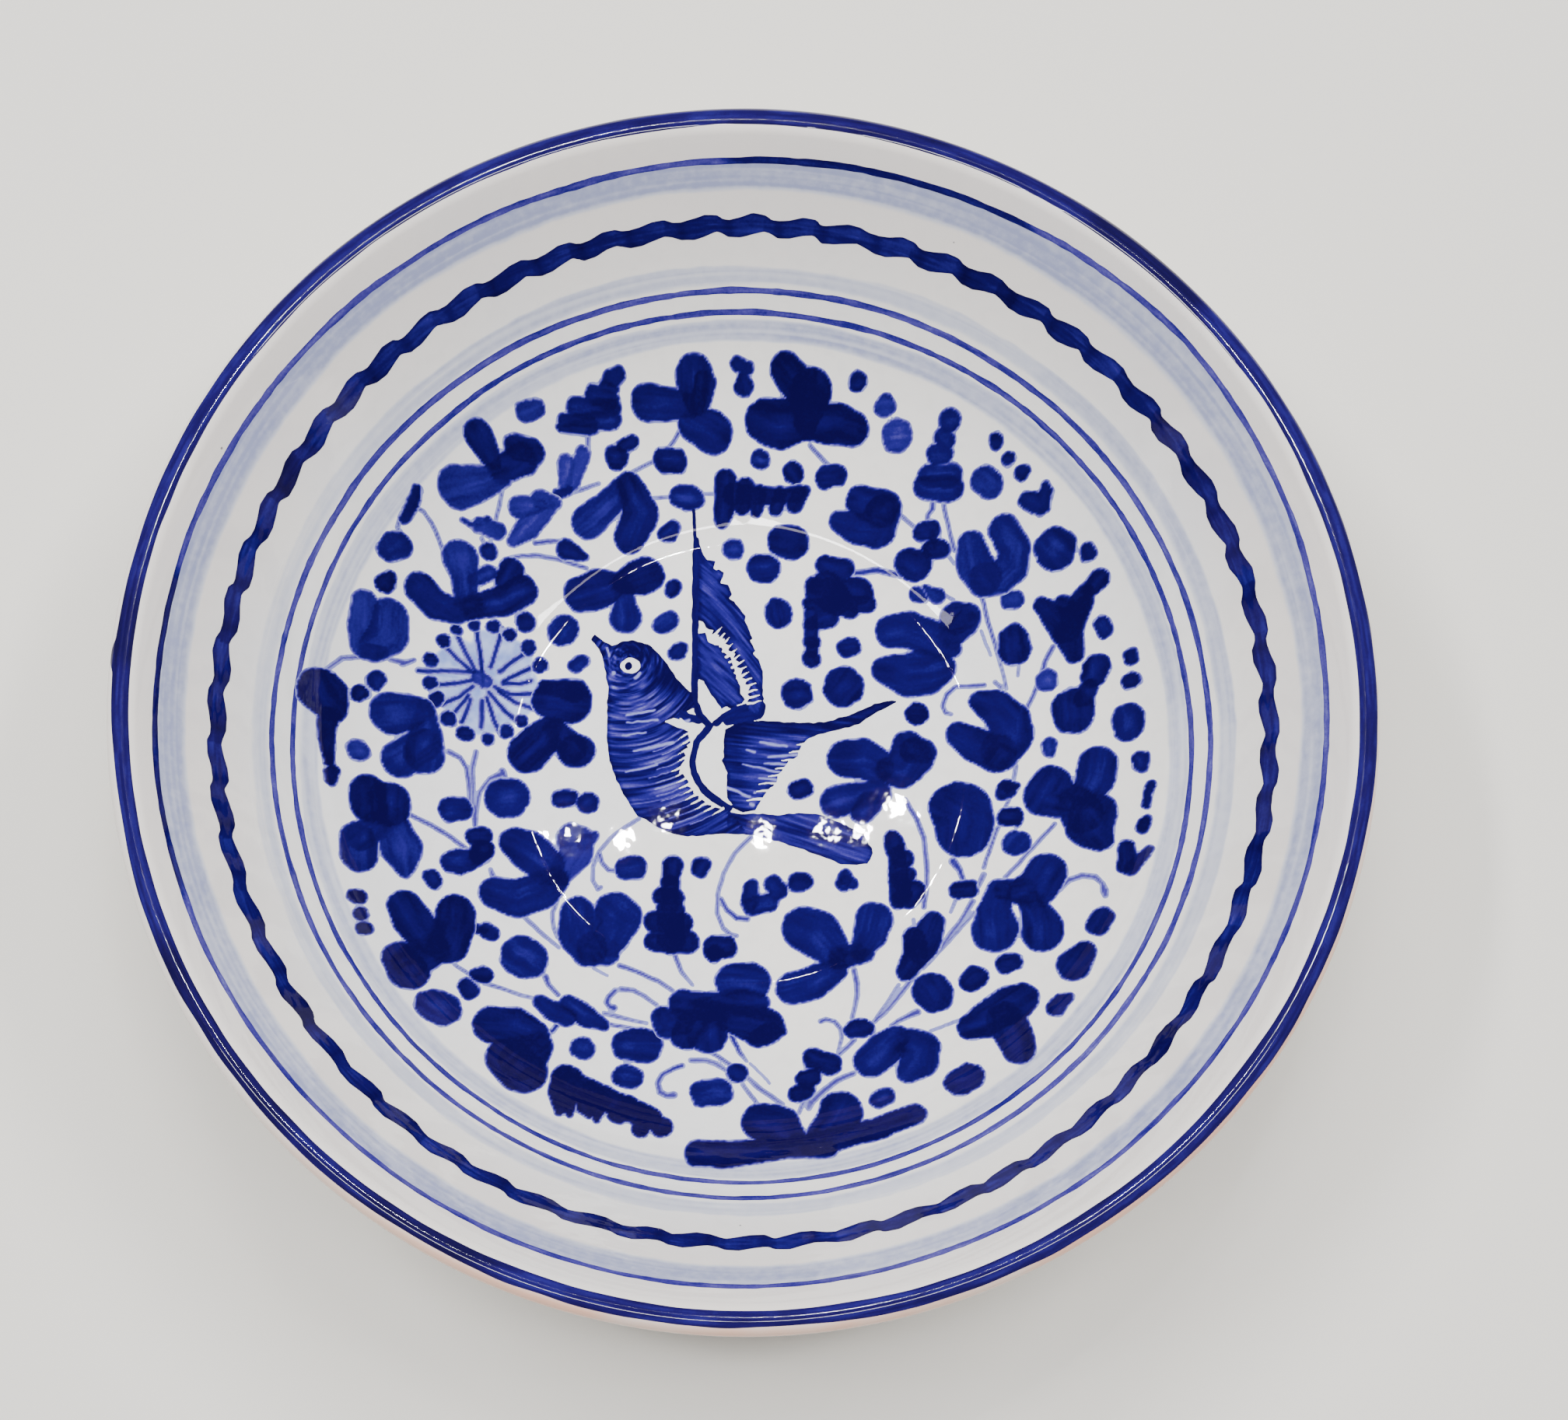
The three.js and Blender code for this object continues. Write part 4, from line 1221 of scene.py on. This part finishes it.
LONG_WING = (
    -4.7, 8.5, -5, 5, -5, 1, -5.5, 0, -4, -3, -4.2, -6.5, -4.2, -9.5, -3, -11, -2.5, -12.5, 0, -13.5, 3, -13,
    4.8, -10, 6.5, -7.5, 8.5, -5.5, 9.5, -3, 11.5, 0, 14, 1.5, 14.5, 3, 15, 4.5, 16.5, 6, 18, 6.8, 22, 8,
    26, 9, 29.5, 10, 31, 11, 34, 13, 37, 14.5, 40, 16.2, 38.5, 16.5, 34, 15.5, 30, 13.8, 26.5, 12.2, 23, 11,
    18, 10.3, 12, 10.4, 5, 10.9, -1, 10.3,
)
TAIL = (
    -4, -13.4, 0, -14, 5, -13.8, 8, -14.2, 14, -13.5, 19, -13.8, 21, -14.5, 26, -16.5, 31, -19, 32, -21.5, 33,
    -22.5, 33.2, -24, 32.5, -25.5, 31.7, -26.8, 29, -27.2, 25, -26.8, 20, -25, 15, -23, 9, -21, 2,
    -19.5, -4, -19,
)
FINE_STROKES = [
    (
        -13.3, 67, .4, -12.8, 60, .5, -12.6, 54, .85, -12.6, 40, .9, -12.5, 25, .9, -12.7, 16, 1,
        -11, 12, .95, -8.5, 9.4, .9,
    ),
    (
        -8.5, 9.4, .9, -12, 5, .9, -13, 0, .85, -12.6, -3, .9, -11.3, -5.8, .9, -9.8, -7.8, .95,
        -7.4, -9.9, .95, -3.6, -12.4, .9,
    ),
    (-7, 10.2, .9, -5, 11.8, 1, -2, 13.2, 1.1, 1, 14.4, 1, 4, 16.2, .7),
    (-4, 10.6, 1, 0, 11.8, 1.4, 4, 12.6, 1.3, 5, 15, .8),
    (-12.5, 60, .6, -11.8, 56.5, .9, -10.6, 53.5, 1.1),
    (-18.5, 15, 1.4, -14.5, 11.6, 1.2, -11.4, 11, 1),
]
GAPS = [
    (-35.4, 30, .25, -34.9, 28, .3), (-28, 22, .3, -26.7, 23.5, .35), (-33.5, 23.5, .5),
    (-23, 13.5, .35, -30, 12, .25), (-22, 11, .25, -30, 10, .2), (-28, 2.5, .2, -18, 5, .35),
    (-31, 6.5, .15, -25, 7.6, .25), (-30, -3, .15, -22, -1.2, .25), (-4.2, -7, .4, 1.7, -9.3, .3),
    (3, -8.3, .35), (2, -11.3, .4, 2.6, -11.5, .4), (4.5, 5, .22, 11, 4, .3), (1, 3, .22, 3, 2.5, .3),
    (6.5, 1.3, .22, 14, 1.8, .3), (5.5, -.5, .2, 11, -.7, .25), (0, -.8, .2, 9.5, -2.7, .25),
    (4, -4.5, .2, 9, -4.8, .25), (-16, 10.2, .3, -14, 10.9, .3),
]


def outline_distance(x, y, numbers):
    """Distance to a closed outline, less than nought inside it."""
    points = np.array(numbers, float).reshape(-1, 2)
    best, inside = np.full(x.shape, 99.0), np.zeros(x.shape, bool)
    for (ax, ay), (bx, by) in zip(points, np.roll(points, -1, 0)):
        dx, dy = bx - ax, by - ay
        t = np.clip(((x - ax) * dx + (y - ay) * dy) / (dx * dx + dy * dy), 0, 1)
        best = np.minimum(best, np.hypot(x - ax - t * dx, y - ay - t * dy))
        if dy:
            inside ^= ((ay > y) != (by > y)) & (x < ax + (y - ay) * dx / dy)
    return np.where(inside, -best, best)


# %% [markdown]
# The bird is one film as well. Each part is an outline with streaks of its own, and where parts cross
# the fuller colour wins. Fine strokes draw the wing's quill and the shoulder, dry gaps let pale blue
# in, and small wedges of bare glaze cut the edges into feathers. The eye is a ring of bare glaze.

# %% Paint the bird
BIRD_STEP = 0.28
SWING_X, SWING_Y = -31, 27  # the belly strokes swing round this point behind the eye
bx = np.arange(-42, 43, BIRD_STEP)
by = np.arange(-30, 70, BIRD_STEP)
X, Y = np.meshgrid(bx, by, indexing="ij")
wx = X + 0.16 * noise(X / 1.3, Y / 1.3, 71) + 0.1 * noise(X / 3, Y / 3, 72)
wy = Y + 0.16 * noise(X / 1.3, Y / 1.3, 73) + 0.1 * noise(X / 3, Y / 3, 74)
swing = np.hypot(X - SWING_X, Y - SWING_Y)
swept = np.arctan2(Y - SWING_Y, X - SWING_X) * 3.2
parts = [
    (
        BODY,
        0.6 + 0.28 * smooth(Y + 0.8 * (X + 22), 15, 25) + 0.12 * (1 - smooth(Y, -14, -8)),
        swing / 0.55,
        swept,
        0.4,
    ),
    (RAISED_WING, 0.66 + 0 * X, (Y + 0.75 * X + 0.02 * (X + 12) ** 2) / 0.72, (X - Y) / 8.0, 0.26),
    (UNDER_WING, 0.66 + 0 * X, (Y + 0.9 * X) / 0.72, (X - Y) / 8.0, 0.26),
    (
        LONG_WING,
        0.56 + 0.3 * smooth(Y - 0.06 * X, 5.8, 7.6) + 0.2 * (1 - smooth(X, -2, 3)),
        (Y + 0.1 * X) / 0.62,
        X / 8.0,
        0.26,
    ),
    (
        TAIL,
        0.54 + 0.25 * np.exp(-(((Y + 16.6 + 0.19 * (X - 5)) / 1.5) ** 2)),
        (Y + 0.32 * X) / 0.7,
        X / 9.0,
        0.22,
    ),
]
bird_edge, bird_load = np.full(X.shape, FAR), np.zeros(X.shape)
for k, (outline, tone, q, p, streak) in enumerate(parts):
    d = outline_distance(wx, wy, outline)
    comb = noise(q, p, 80 + k) + 0.5 * noise(q * 2.1, p * 1.3, 90 + k)
    load = tone + streak * comb + 0.16 * (1 - smooth(-d, 0.3, 1.1))
    bird_load = np.where(
        (d < 0) & (bird_edge < 0), np.maximum(bird_load, load), np.where(d < bird_edge, load, bird_load)
    )
    bird_edge = np.minimum(bird_edge, d)
for numbers in FINE_STROKES:
    d, q, p = stroke_distance(wx, wy, touches_of(numbers))
    bird_load = np.where(d < bird_edge, 0.84 + 0.1 * noise(q * 2, p / 5, 99), bird_load)
    bird_edge = np.minimum(bird_edge, d)
for cx, cy, size in ((-16, -13.3, 2.2), (-1, -14.5, 2), (-27, 29.5, 3), (-20, 22, 3)):
    bird_load += 0.22 * np.exp(-((X - cx) ** 2 + (Y - cy) ** 2) / size**2)
for numbers in GAPS:  # dry brush between strokes shows pale blue
    bird_load = bird_load * smooth(stroke_distance(wx, wy, touches_of(numbers))[0], -0.15, 0.3)


def on_swing(reach, angle, half_width):
    """One touch of a brush that swings round the point behind the eye."""
    return SWING_X + reach * math.cos(angle), SWING_Y + reach * math.sin(angle), half_width


for k in range(19):  # the feather tips, where the belly strokes end
    reach = 17.5 + 1.65 * k
    sweep = np.radians(np.linspace(-95, -5, 181))
    ax, ay = SWING_X + reach * np.cos(sweep), SWING_Y + reach * np.sin(sweep)
    leaves = np.nonzero(outline_distance(ax, ay, BODY) < 0)[0]
    if len(leaves) and ay[leaves[-1]] < 8:
        tip = sweep[leaves[-1]] + 0.3 / reach
        deep = (5.5 + 3 * chance(k, 7, 9)) / reach
        wedge = [on_swing(reach, tip - deep * f, w) for f, w in ((0, 0.3), (0.25, 0.22), (0.6, 0.05))]
        bird_edge = np.maximum(bird_edge, -stroke_distance(wx, wy, wedge)[0])
        dry = [on_swing(reach, tip - deep * f, 0.12) for f in (0.4, 0.7, 1, 1.3)]
        bird_load = bird_load * smooth(stroke_distance(wx, wy, dry)[0], -0.2, 0.25)
for k in range(14):  # the raised wing's barbs
    f = k / 13
    x, y, lean = 1.4 - 9 * f**1.3, 15.4 + 18.4 * f, math.radians(12 + 38 * f)
    barb = [
        (x + r * math.cos(lean), y + r * math.sin(lean), w)
        for r, w in ((-0.4, 0.34), (1.8, 0.26), (4.4 - f, 0.06))
    ]
    bird_edge = np.maximum(bird_edge, -stroke_distance(wx, wy, barb)[0])
for k in range(8):  # the long wing's barbs
    x, y = 16.5 - 1.75 * k, 4.8 - 2.1 * k
    barb = [(x - r, y - 0.1 * r, w) for r, w in ((-0.6, 0.32), (1.6, 0.24), (4.2 + 0.6 * (k % 3), 0.05))]
    bird_edge = np.maximum(bird_edge, -stroke_distance(wx, wy, barb)[0])
eye = (np.hypot((wx + 29.3) / 2.6, (wy - 25.4) / 2.05) - 1) * 2.2
pupil = np.hypot(wx + 29.7, wy - 25.3) - 1
bird_edge = np.maximum(bird_edge, -eye)
bird_load = np.where(pupil < 0.3, 1.0, bird_load)
bird_edge = np.minimum(bird_edge, pupil)
painted_film(
    "painted_bird",
    bird_cobalt,
    "cobalt",
    bx,
    by,
    bird_edge,
    on_plan,
    {"load": np.clip(bird_load, 0, 1)},
    nodes=("bird",),
    proud=0.07,
)

# %% [markdown]
# Thin washes of colour melt into the glaze with soft edges. A wash is a film of the same white glaze
# whose points carry how much blue lies in it, down to none at its border, so no border shows.

# %% The wash's glaze
WASH_FAINT, WASH_FULL = colour(200, 203, 216), colour(150, 156, 190)
DAISY_FAINT, DAISY_FULL = colour(168, 184, 227), colour(118, 138, 204)


def wash_material(name, faint, full):
    material, tree, shader = new_material(name, 0.06)
    skin = put_group(tree, white_colour, Thin=1.0)
    wash = node(tree, "ShaderNodeAttribute", attribute_name="wash", attribute_type="GEOMETRY").outputs["Fac"]
    where = node(tree, "ShaderNodeTexCoord").outputs["Object"]
    mottle = node(tree, "ShaderNodeTexNoise", [("Vector", where), ("Scale", 420.0), ("Detail", 3.0)])
    uneven = maths(
        tree,
        "MULTIPLY",
        wash,
        maths(tree, "ADD", maths(tree, "MULTIPLY", mottle.outputs[0], 0.7), 0.65),
        clamp=True,
    )
    blue = blend_colours(tree, ramp(tree, uneven, 0.35, 1.0), faint, full)
    tree.links.new(
        blend_colours(tree, ramp(tree, uneven, 0.0, 0.45), skin.outputs["Color"], blue),
        shader.inputs["Base Color"],
    )
    tree.links.new(skin.outputs["Roughness"], shader.inputs["Roughness"])
    add_ripple(tree, shader)
    return material


wash_glaze = wash_material("washed_glaze", WASH_FAINT, WASH_FULL)
daisy_glaze = wash_material("daisy_glaze", DAISY_FAINT, DAISY_FULL)

# %% [markdown]
# The daisy by the bird's beak has a pale blue ground under its dark rays. Noise that turns round the
# daisy's middle gives it the look of petals, and the middle itself is a little fuller.

# %% Wash the daisy
DAISY_X, DAISY_Y = -67.5, 20.5
DAISY = (
    -74, 32, -70, 30, -69, 33, -64, 34, -62, 32, -58, 31, -55, 29, -54, 24, -53, 20, -53.5, 15, -55,
    13, -58, 11, -60, 10, -61, 8, -65, 7, -68, 6, -72, 8, -75, 11, -77, 13, -79, 16, -80, 20, -82, 22, -79,
    26, -77, 28,
)
dx, dy = np.arange(-86, -48, 0.5), np.arange(2, 39, 0.5)
X, Y = np.meshgrid(dx, dy, indexing="ij")
daisy = outline_distance(X + 0.7 * noise(X / 4, Y / 4, 120), Y + 0.7 * noise(X / 4, Y / 4, 121), DAISY)
turn = np.arctan2(Y - DAISY_Y, X - DAISY_X)
petals = noise(turn * 4.5, np.hypot(X - DAISY_X, Y - DAISY_Y) / 9, 122)
tone = (
    smooth(-daisy, -0.6, 0.8) * (0.66 + 0.2 * petals + 0.15 * noise(X / 1.4, Y / 1.4, 123))
    + 0.5 * np.exp(-((X - DAISY_X) ** 2 + (Y - DAISY_Y) ** 2) / 5)
)
painted_film(
    "daisy_wash",
    daisy_glaze,
    "pale_wash",
    dx,
    dy,
    daisy - 1.2,
    on_plan,
    {"wash": np.clip(tone, 0, 1)},
    proud=0.015,
)

# %% [markdown]
# The bowl was put back on the banding wheel for its rings. Each ring is a loaded brush held still while
# the bowl turns: it wanders a little, pales as the brush empties, and is darkest where a fresh stroke
# starts over the last. The rings are films in angle and radius, joined where they close.

# %% Rings
TURN_POINTS = 1441
BAND_RADIUS = 130.0  # about where the rings lie, so an angle can be weighed as millimetres
around = np.linspace(0, 2 * math.pi, TURN_POINTS)
degrees = np.degrees(around)


def ring_noise(angle, bumps, v=0.0, seed=0):
    """Smooth noise that closes on itself, with so many bumps to one turn."""
    u = angle / (2 * math.pi) * bumps
    v = v + 0 * u
    i, j = np.floor(u), np.floor(v)
    a, b = u - i, v - j
    a, b = a * a * (3 - 2 * a), b * b * (3 - 2 * b)
    low = hashed(i % bumps, j, seed) * (1 - a) + hashed((i + 1) % bumps, j, seed) * a
    high = hashed(i % bumps, j + 1, seed) * (1 - a) + hashed((i + 1) % bumps, j + 1, seed) * a
    return (low * (1 - b) + high * b) * 2 - 1


def by_angle(*pairs):
    """A value that changes smoothly round the bowl, from (degrees, value) pairs."""
    angle = np.array([p[0] for p in pairs] + [pairs[0][0] + 360], float)
    value = np.array([p[1] for p in pairs] + [pairs[0][1]], float)
    return np.interp((degrees - angle[0]) % 360 + angle[0], angle, value)


def within(low, high, soft=1.5):
    return smooth(degrees, low - soft, low + soft) * (1 - smooth(degrees, high - soft, high + soft))


def on_radius(angle, radius):
    return on_path(angle, along(radius))


def ring_film(
    name,
    material,
    slot,
    nodes,
    low,
    high,
    value,
    extra=0.0,
    fine=0.22,
    surface=on_radius,
    proud=0.02,
    key="load",
):
    vs = np.arange(low.min() - extra - 2.5 * fine, high.max() + extra + 2.5 * fine, fine)
    A, R = np.meshgrid(around, vs, indexing="ij")
    edge = np.maximum(low[:, None] - extra - R, R - high[:, None] - extra)
    load = value(A, R, (R - low[:, None]) / (high - low)[:, None])
    return painted_film(
        name,
        material,
        slot,
        around,
        vs,
        edge,
        surface,
        {key: np.clip(load, 0, 1), "scale": BAND_RADIUS},
        nodes,
        closed=True,
        proud=proud,
    )


def banded_line(name, node_name, centre, width, tone, seed, grain=0.1):
    middle = centre + 0.12 * ring_noise(around, 40, 0, seed) + 0.06 * ring_noise(around, 170, 0, seed + 1)
    half = (
        width / 2 + 0.07 * ring_noise(around, 90, 0, seed + 2) + 0.06 * ring_noise(around, 360, 0, seed + 3)
    )

    def load(A, R, t):
        return (
            tone[:, None]
            + grain * ring_noise(A, 240, R / 0.4, seed + 4)
            + 0.08 * ring_noise(A, 60, R / 0.5, seed + 5)
            + 0.1 * (1 - smooth(0.5 - abs(t - 0.5), 0.0, 0.3))
        )

    ring_film(name, line_cobalt, "cobalt", (node_name,), middle - half, middle + half, load, proud=0.03)


def banded_wash(name, node_name, low, high, strength, seed, inner_dark=0.0, outer_dark=0.0):
    low = low + 0.25 * ring_noise(around, 50, 0, seed) + 0.12 * ring_noise(around, 200, 0, seed + 1)
    high = high + 0.25 * ring_noise(around, 50, 0, seed + 2) + 0.12 * ring_noise(around, 200, 0, seed + 3)

    def load(A, R, t):
        body = smooth(t, -0.13, 0.24) * (1 - smooth(t, 0.91, 1.09))
        streaks = 0.16 * ring_noise(A, 9, R / 0.6, seed + 4) + 0.1 * ring_noise(A, 30, R / 0.35, seed + 5)
        rims = (
            inner_dark * np.exp(-(((t - 0.08) / 0.1) ** 2)) + outer_dark * np.exp(-(((t - 0.92) / 0.1) ** 2))
        )
        return body * (strength[:, None] + streaks + rims)

    ring_film(
        name,
        wash_glaze,
        "pale_wash",
        (node_name,),
        low,
        high,
        load,
        extra=0.7,
        fine=0.3,
        proud=0.015,
        key="wash",
    )


outer_ring = by_angle(
    (0, 138.3), (40, 140.1), (70, 139), (110, 138), (165, 138.9), (190, 139.3), (230, 138.7), (300, 138.2),
    (325, 138.2),
)
banded_line(
    "ringed_outer_line",
    "outer_line",
    outer_ring,
    1.1,
    0.34 + 0.4 * within(60, 92) + 0.42 * within(168, 200),
    130,
)
banded_line(
    "ringed_upper_line",
    "upper_line",
    by_angle((0, 115.1), (90, 115.7), (155, 116), (270, 115.3)),
    1.2 + 0.1 * within(300, 359),
    0.38 - 0.06 * within(300, 359),
    140,
)
banded_line(
    "ringed_lower_line",
    "lower_line",
    by_angle((0, 111.1), (120, 111.7), (240, 111.3)),
    1.15,
    0.4 + 0 * around,
    150,
)
banded_wash(
    "ringed_outer_wash",
    "outer_wash",
    133.4 + 0.2 * np.sin(around),
    outer_ring - 0.2,
    0.74 + 0.1 * within(51, 200),
    160,
    inner_dark=0.16,
    outer_dark=0.05,
)
banded_wash(
    "ringed_upper_wash",
    "upper_wash",
    116.7 + 0.2 * np.sin(around + 1),
    120.3 + 0.2 * np.cos(around),
    0.46 + 0.14 * within(0, 51),
    170,
)
banded_wash(
    "ringed_inner_wash",
    "inner_wash",
    106.0 + 0.15 * np.sin(around + 2),
    110.3 + 0.15 * np.cos(around),
    0.56 + 0.1 * within(5, 85),
    180,
    inner_dark=0.2,
)

# %% [markdown]
# The widest ring is a chain of dabs: the brush was pressed and eased sixty-four times on the way round,
# so it swells and necks like a string of beads, slanting a little inward at each press.

# %% The chain of dabs
BEADS, WAVE_RADIUS = 64, 127.3
pitch = 2 * math.pi * WAVE_RADIUS / BEADS
vs = np.arange(-3.4, 3.4, 0.25)
A, V = np.meshgrid(around, vs, indexing="ij")
U = A * WAVE_RADIUS
V2 = V + 0.1 * ring_noise(A, 230, V / 1.2, 201)
edge, load = np.full(A.shape, FAR), np.zeros(A.shape)


def luck(bead, n):
    """A number from -1 to 1 that makes one press of the brush differ from the next."""
    return chance(bead % BEADS, n, 210) * 2 - 1


for bead in range(-1, BEADS + 1):
    lucky = [luck(bead, n) for n in range(5)]
    at = bead * pitch + 0.9 * lucky[0]
    next_at = (bead + 1) * pitch + 0.9 * luck(bead + 1, 0)
    half = 1.72 + 0.12 * lucky[1]
    chain = [
        (at - 4.3, 0.5, 1.4), (at - 1.4, 0.3 + 0.1 * lucky[2], half), (at + 1.8, -0.3, half),
        (at + 4.5, -0.45, 1.55), ((at + next_at) / 2 + 0.3, 0.0, 1.28 + 0.12 * lucky[3]),
        (next_at - 4.3, 0.5, 1.4),
    ]
    columns = slice(*np.searchsorted(around * WAVE_RADIUS, (at - 7, next_at + 1)))
    if columns.stop <= columns.start:
        continue
    d = stroke_distance(U[columns], V2[columns], chain)[0]
    dry = smooth(U[columns] - at, -5.6, -4.2) * (1 - smooth(U[columns] - at, -3.2, 0.6))
    here = (
        0.72
        + 0.05 * lucky[4]
        + 0.07 * ring_noise(A[columns], 70, V[columns] / 0.42, 220)
        + 0.08 * ring_noise(A[columns], 200, V[columns] / 0.3, 221)
        - dry * (0.03 + 0.13 * smooth(ring_noise(A[columns], 90, V[columns] / 0.4, 222), -0.2, 0.6))
    )
    here = here + 0.14 * (1 - smooth(-d, 0.1, 0.55)) + 0.14 * np.exp(-(((U[columns] - at - 4.6) / 1.3) ** 2))
    nearer = d < edge[columns]
    load[columns] = np.where(nearer, here, load[columns])
    edge[columns] = np.minimum(edge[columns], d)
for low, high in ((58, 65), (150, 154), (212, 218), (318, 323)):
    load += 0.15 * within(low, high, 0.5)[:, None]


def on_wave(angle, v):
    return on_radius(angle, WAVE_RADIUS + v)


painted_film(
    "ringed_dab_chain",
    brushed_cobalt,
    "cobalt",
    around,
    vs,
    edge,
    on_wave,
    {"load": np.clip(load, 0, 1), "scale": WAVE_RADIUS},
    ("wave_band",),
    closed=True,
    proud=0.04,
)

# %% [markdown]
# Last, a loaded brush was held on the lip. Its band laps over the edge to the outside, wider on one
# side than on the other, paler where the brush emptied, with two short drips where the colour ran.

# %% The rim's band, from just inside the crest over the lip
low = -2.1 + 0.2 * ring_noise(around, 36, 0, 230) + 0.12 * ring_noise(around, 120, 0, 231)
high = (
    by_angle(
        (0, 2.9), (53, 3.1), (90, 3.2), (135, 3.0), (162, 2.2), (180, 1.8), (225, 1.8), (270, 1.8), (315, 2.4)
    )
    + 0.35 * ring_noise(around, 30, 0, 232)
    + 0.2 * ring_noise(around, 110, 0, 233)
    + 0.9 * within(51, 55, 1)
    + 1.1 * within(176.3, 178.5, 0.7)
)


def rim_load(A, R, t):
    tone = 0.72 + 0.2 * (
        within(41, 55) + within(171, 178.4) + within(205, 225) + within(235, 247) + 0.5 * within(70, 84)
    )
    return (
        tone[:, None]
        + 0.14 * ring_noise(A, 80, R / 0.6, 240)
        + 0.08 * ring_noise(A, 300, R / 0.5, 241)
        + 0.1 * (1 - smooth(0.5 - abs(t - 0.5), 0, 0.14))
    )


rim_cobalt = cobalt_material("rim_cobalt", 0.4, roughness=0.05, mirror=1.5)
ring_film(
    "ringed_rim_band",
    rim_cobalt,
    "cobalt",
    ("rim_band",),
    low,
    high,
    rim_load,
    fine=0.3,
    surface=on_path,
    proud=0.04,
)

# %% [markdown]
# The bowl stands on a plain pale table, wide enough that its edge is never seen from above.

# %% Table
deselect_all()
bpy.ops.mesh.primitive_plane_add(size=14)
table = bpy.context.object
table.name = "table_top"
pale, tree, shader = new_material("pale_table", 0.6)
where = node(tree, "ShaderNodeTexCoord").outputs["Object"]
cloud = node(tree, "ShaderNodeTexNoise", [("Vector", where), ("Scale", 3.0), ("Detail", 2.0)])
tree.links.new(
    blend_colours(tree, cloud.outputs[0], colour(226, 223, 216), colour(233, 230, 224)),
    shader.inputs["Base Color"],
)
table.data.materials.append(pale)
print("table top", tuple(round(side) for side in table.dimensions[:2]), "m")

# %% [markdown]
# A glaze shows every light twice: as brightness on the clay, and as a mirror image. Broad fills light
# the bowl from all sides and are kept out of the mirror, or their images would veil the cobalt. Fainter
# panels and two long tubes draw the bright arcs along the crease, and a row of small lamps high behind
# the bowl gives the bright spots on the glazed floor.

# %% Light
LAMP_HEIGHT, LAMP_SIZE, LAMP_POWER = 1.6, 0.012, 0.6
TUBE_LENGTH, TUBE_WIDTH, TUBE_TURN = 0.72, 0.06, math.radians(28)
PANEL_HEIGHT, GLINT = 2.2, 0.3  # the share of a panel's light that the glaze mirrors
world = bpy.data.worlds.new("soft_room")
bpy.context.scene.world = world
world.use_nodes = True
world.node_tree.nodes["Background"].inputs[0].default_value = (1, 1, 1, 1)
world.node_tree.nodes["Background"].inputs[1].default_value = 0.2


def lamp(name, place, width, length, power, seen=True):
    """An area light that faces straight down; one not seen leaves no mirror image in the glaze."""
    light = bpy.data.lights.new(name, "AREA")
    light.shape = "ELLIPSE" if width == length else "RECTANGLE"
    light.size, light.size_y, light.energy = width, length, power
    made = bpy.data.objects.new(name, light)
    bpy.context.scene.collection.objects.link(made)
    made.location = place
    made.visible_glossy = seen
    return made


for k, (x, y) in enumerate(
    [(-0.12, 0.35), (-0.08, 0.345), (-0.045, 0.36), (0.03, 0.35), (0.08, 0.355), (0.105, 0.35), (0.13, 0.375)]
):
    lamp(f"ceiling_lamp_{k}", (x, y, LAMP_HEIGHT), LAMP_SIZE, LAMP_SIZE, LAMP_POWER)
for name, x, y, power, turn in (
    ("left", -0.32, -0.2, 6.5, -TUBE_TURN),
    ("right", 0.34, -0.18, 5.5, TUBE_TURN),
):
    tube = lamp(f"{name}_tube", (x, y, LAMP_HEIGHT), TUBE_LENGTH, TUBE_WIDTH, power)
    tube.rotation_euler.z = turn
for name, x, y, width, length, power, glint in (
    ("left", -1.1, 0.5, 0.2, 1.1, 41, GLINT),
    ("right", 1.1, 0.5, 0.2, 1.1, 30, GLINT),
    ("back", 0, 1.35, 1.1, 0.22, 29, GLINT),
    ("near", 0, -0.2, 1.1, 0.2, 14, 0.0),
):
    lamp(f"{name}_fill", (x, y, PANEL_HEIGHT), width, length, power * (1 - glint), seen=False)
    if glint:
        lamp(f"{name}_panel", (x, y, PANEL_HEIGHT), width, length, power * glint)
print(len(bpy.data.lights), "lights")

# %% [markdown]
# The camera looks down into the bowl from a little in front of it, with a long lens. The two directions
# written here are only nearly square, so they are squared up before the third is worked out from them.

# %% Camera
camera = bpy.data.objects.new("camera", bpy.data.cameras.new("camera"))
bpy.context.scene.collection.objects.link(camera)
camera.data.sensor_fit = "HORIZONTAL"
camera.data.sensor_width, camera.data.lens = 36, 71.43  # millimetres
back, side = np.array([-0.02215, -0.26451, 0.96413]), np.array([0.99971, 0, 0.02302])
back /= np.linalg.norm(back)
side -= back * back.dot(side)
side /= np.linalg.norm(side)
rise = np.cross(back, side)
place = (-0.0073, -0.1987, 0.7874)
camera.matrix_world = Matrix([[side[k], rise[k], back[k], place[k]] for k in range(3)] + [[0, 0, 0, 1]])
bpy.context.scene.camera = camera
print("camera at", place)

# %% [markdown]
# Last, the view layer is brought up to date.

# %% Finish
bpy.context.view_layer.update()
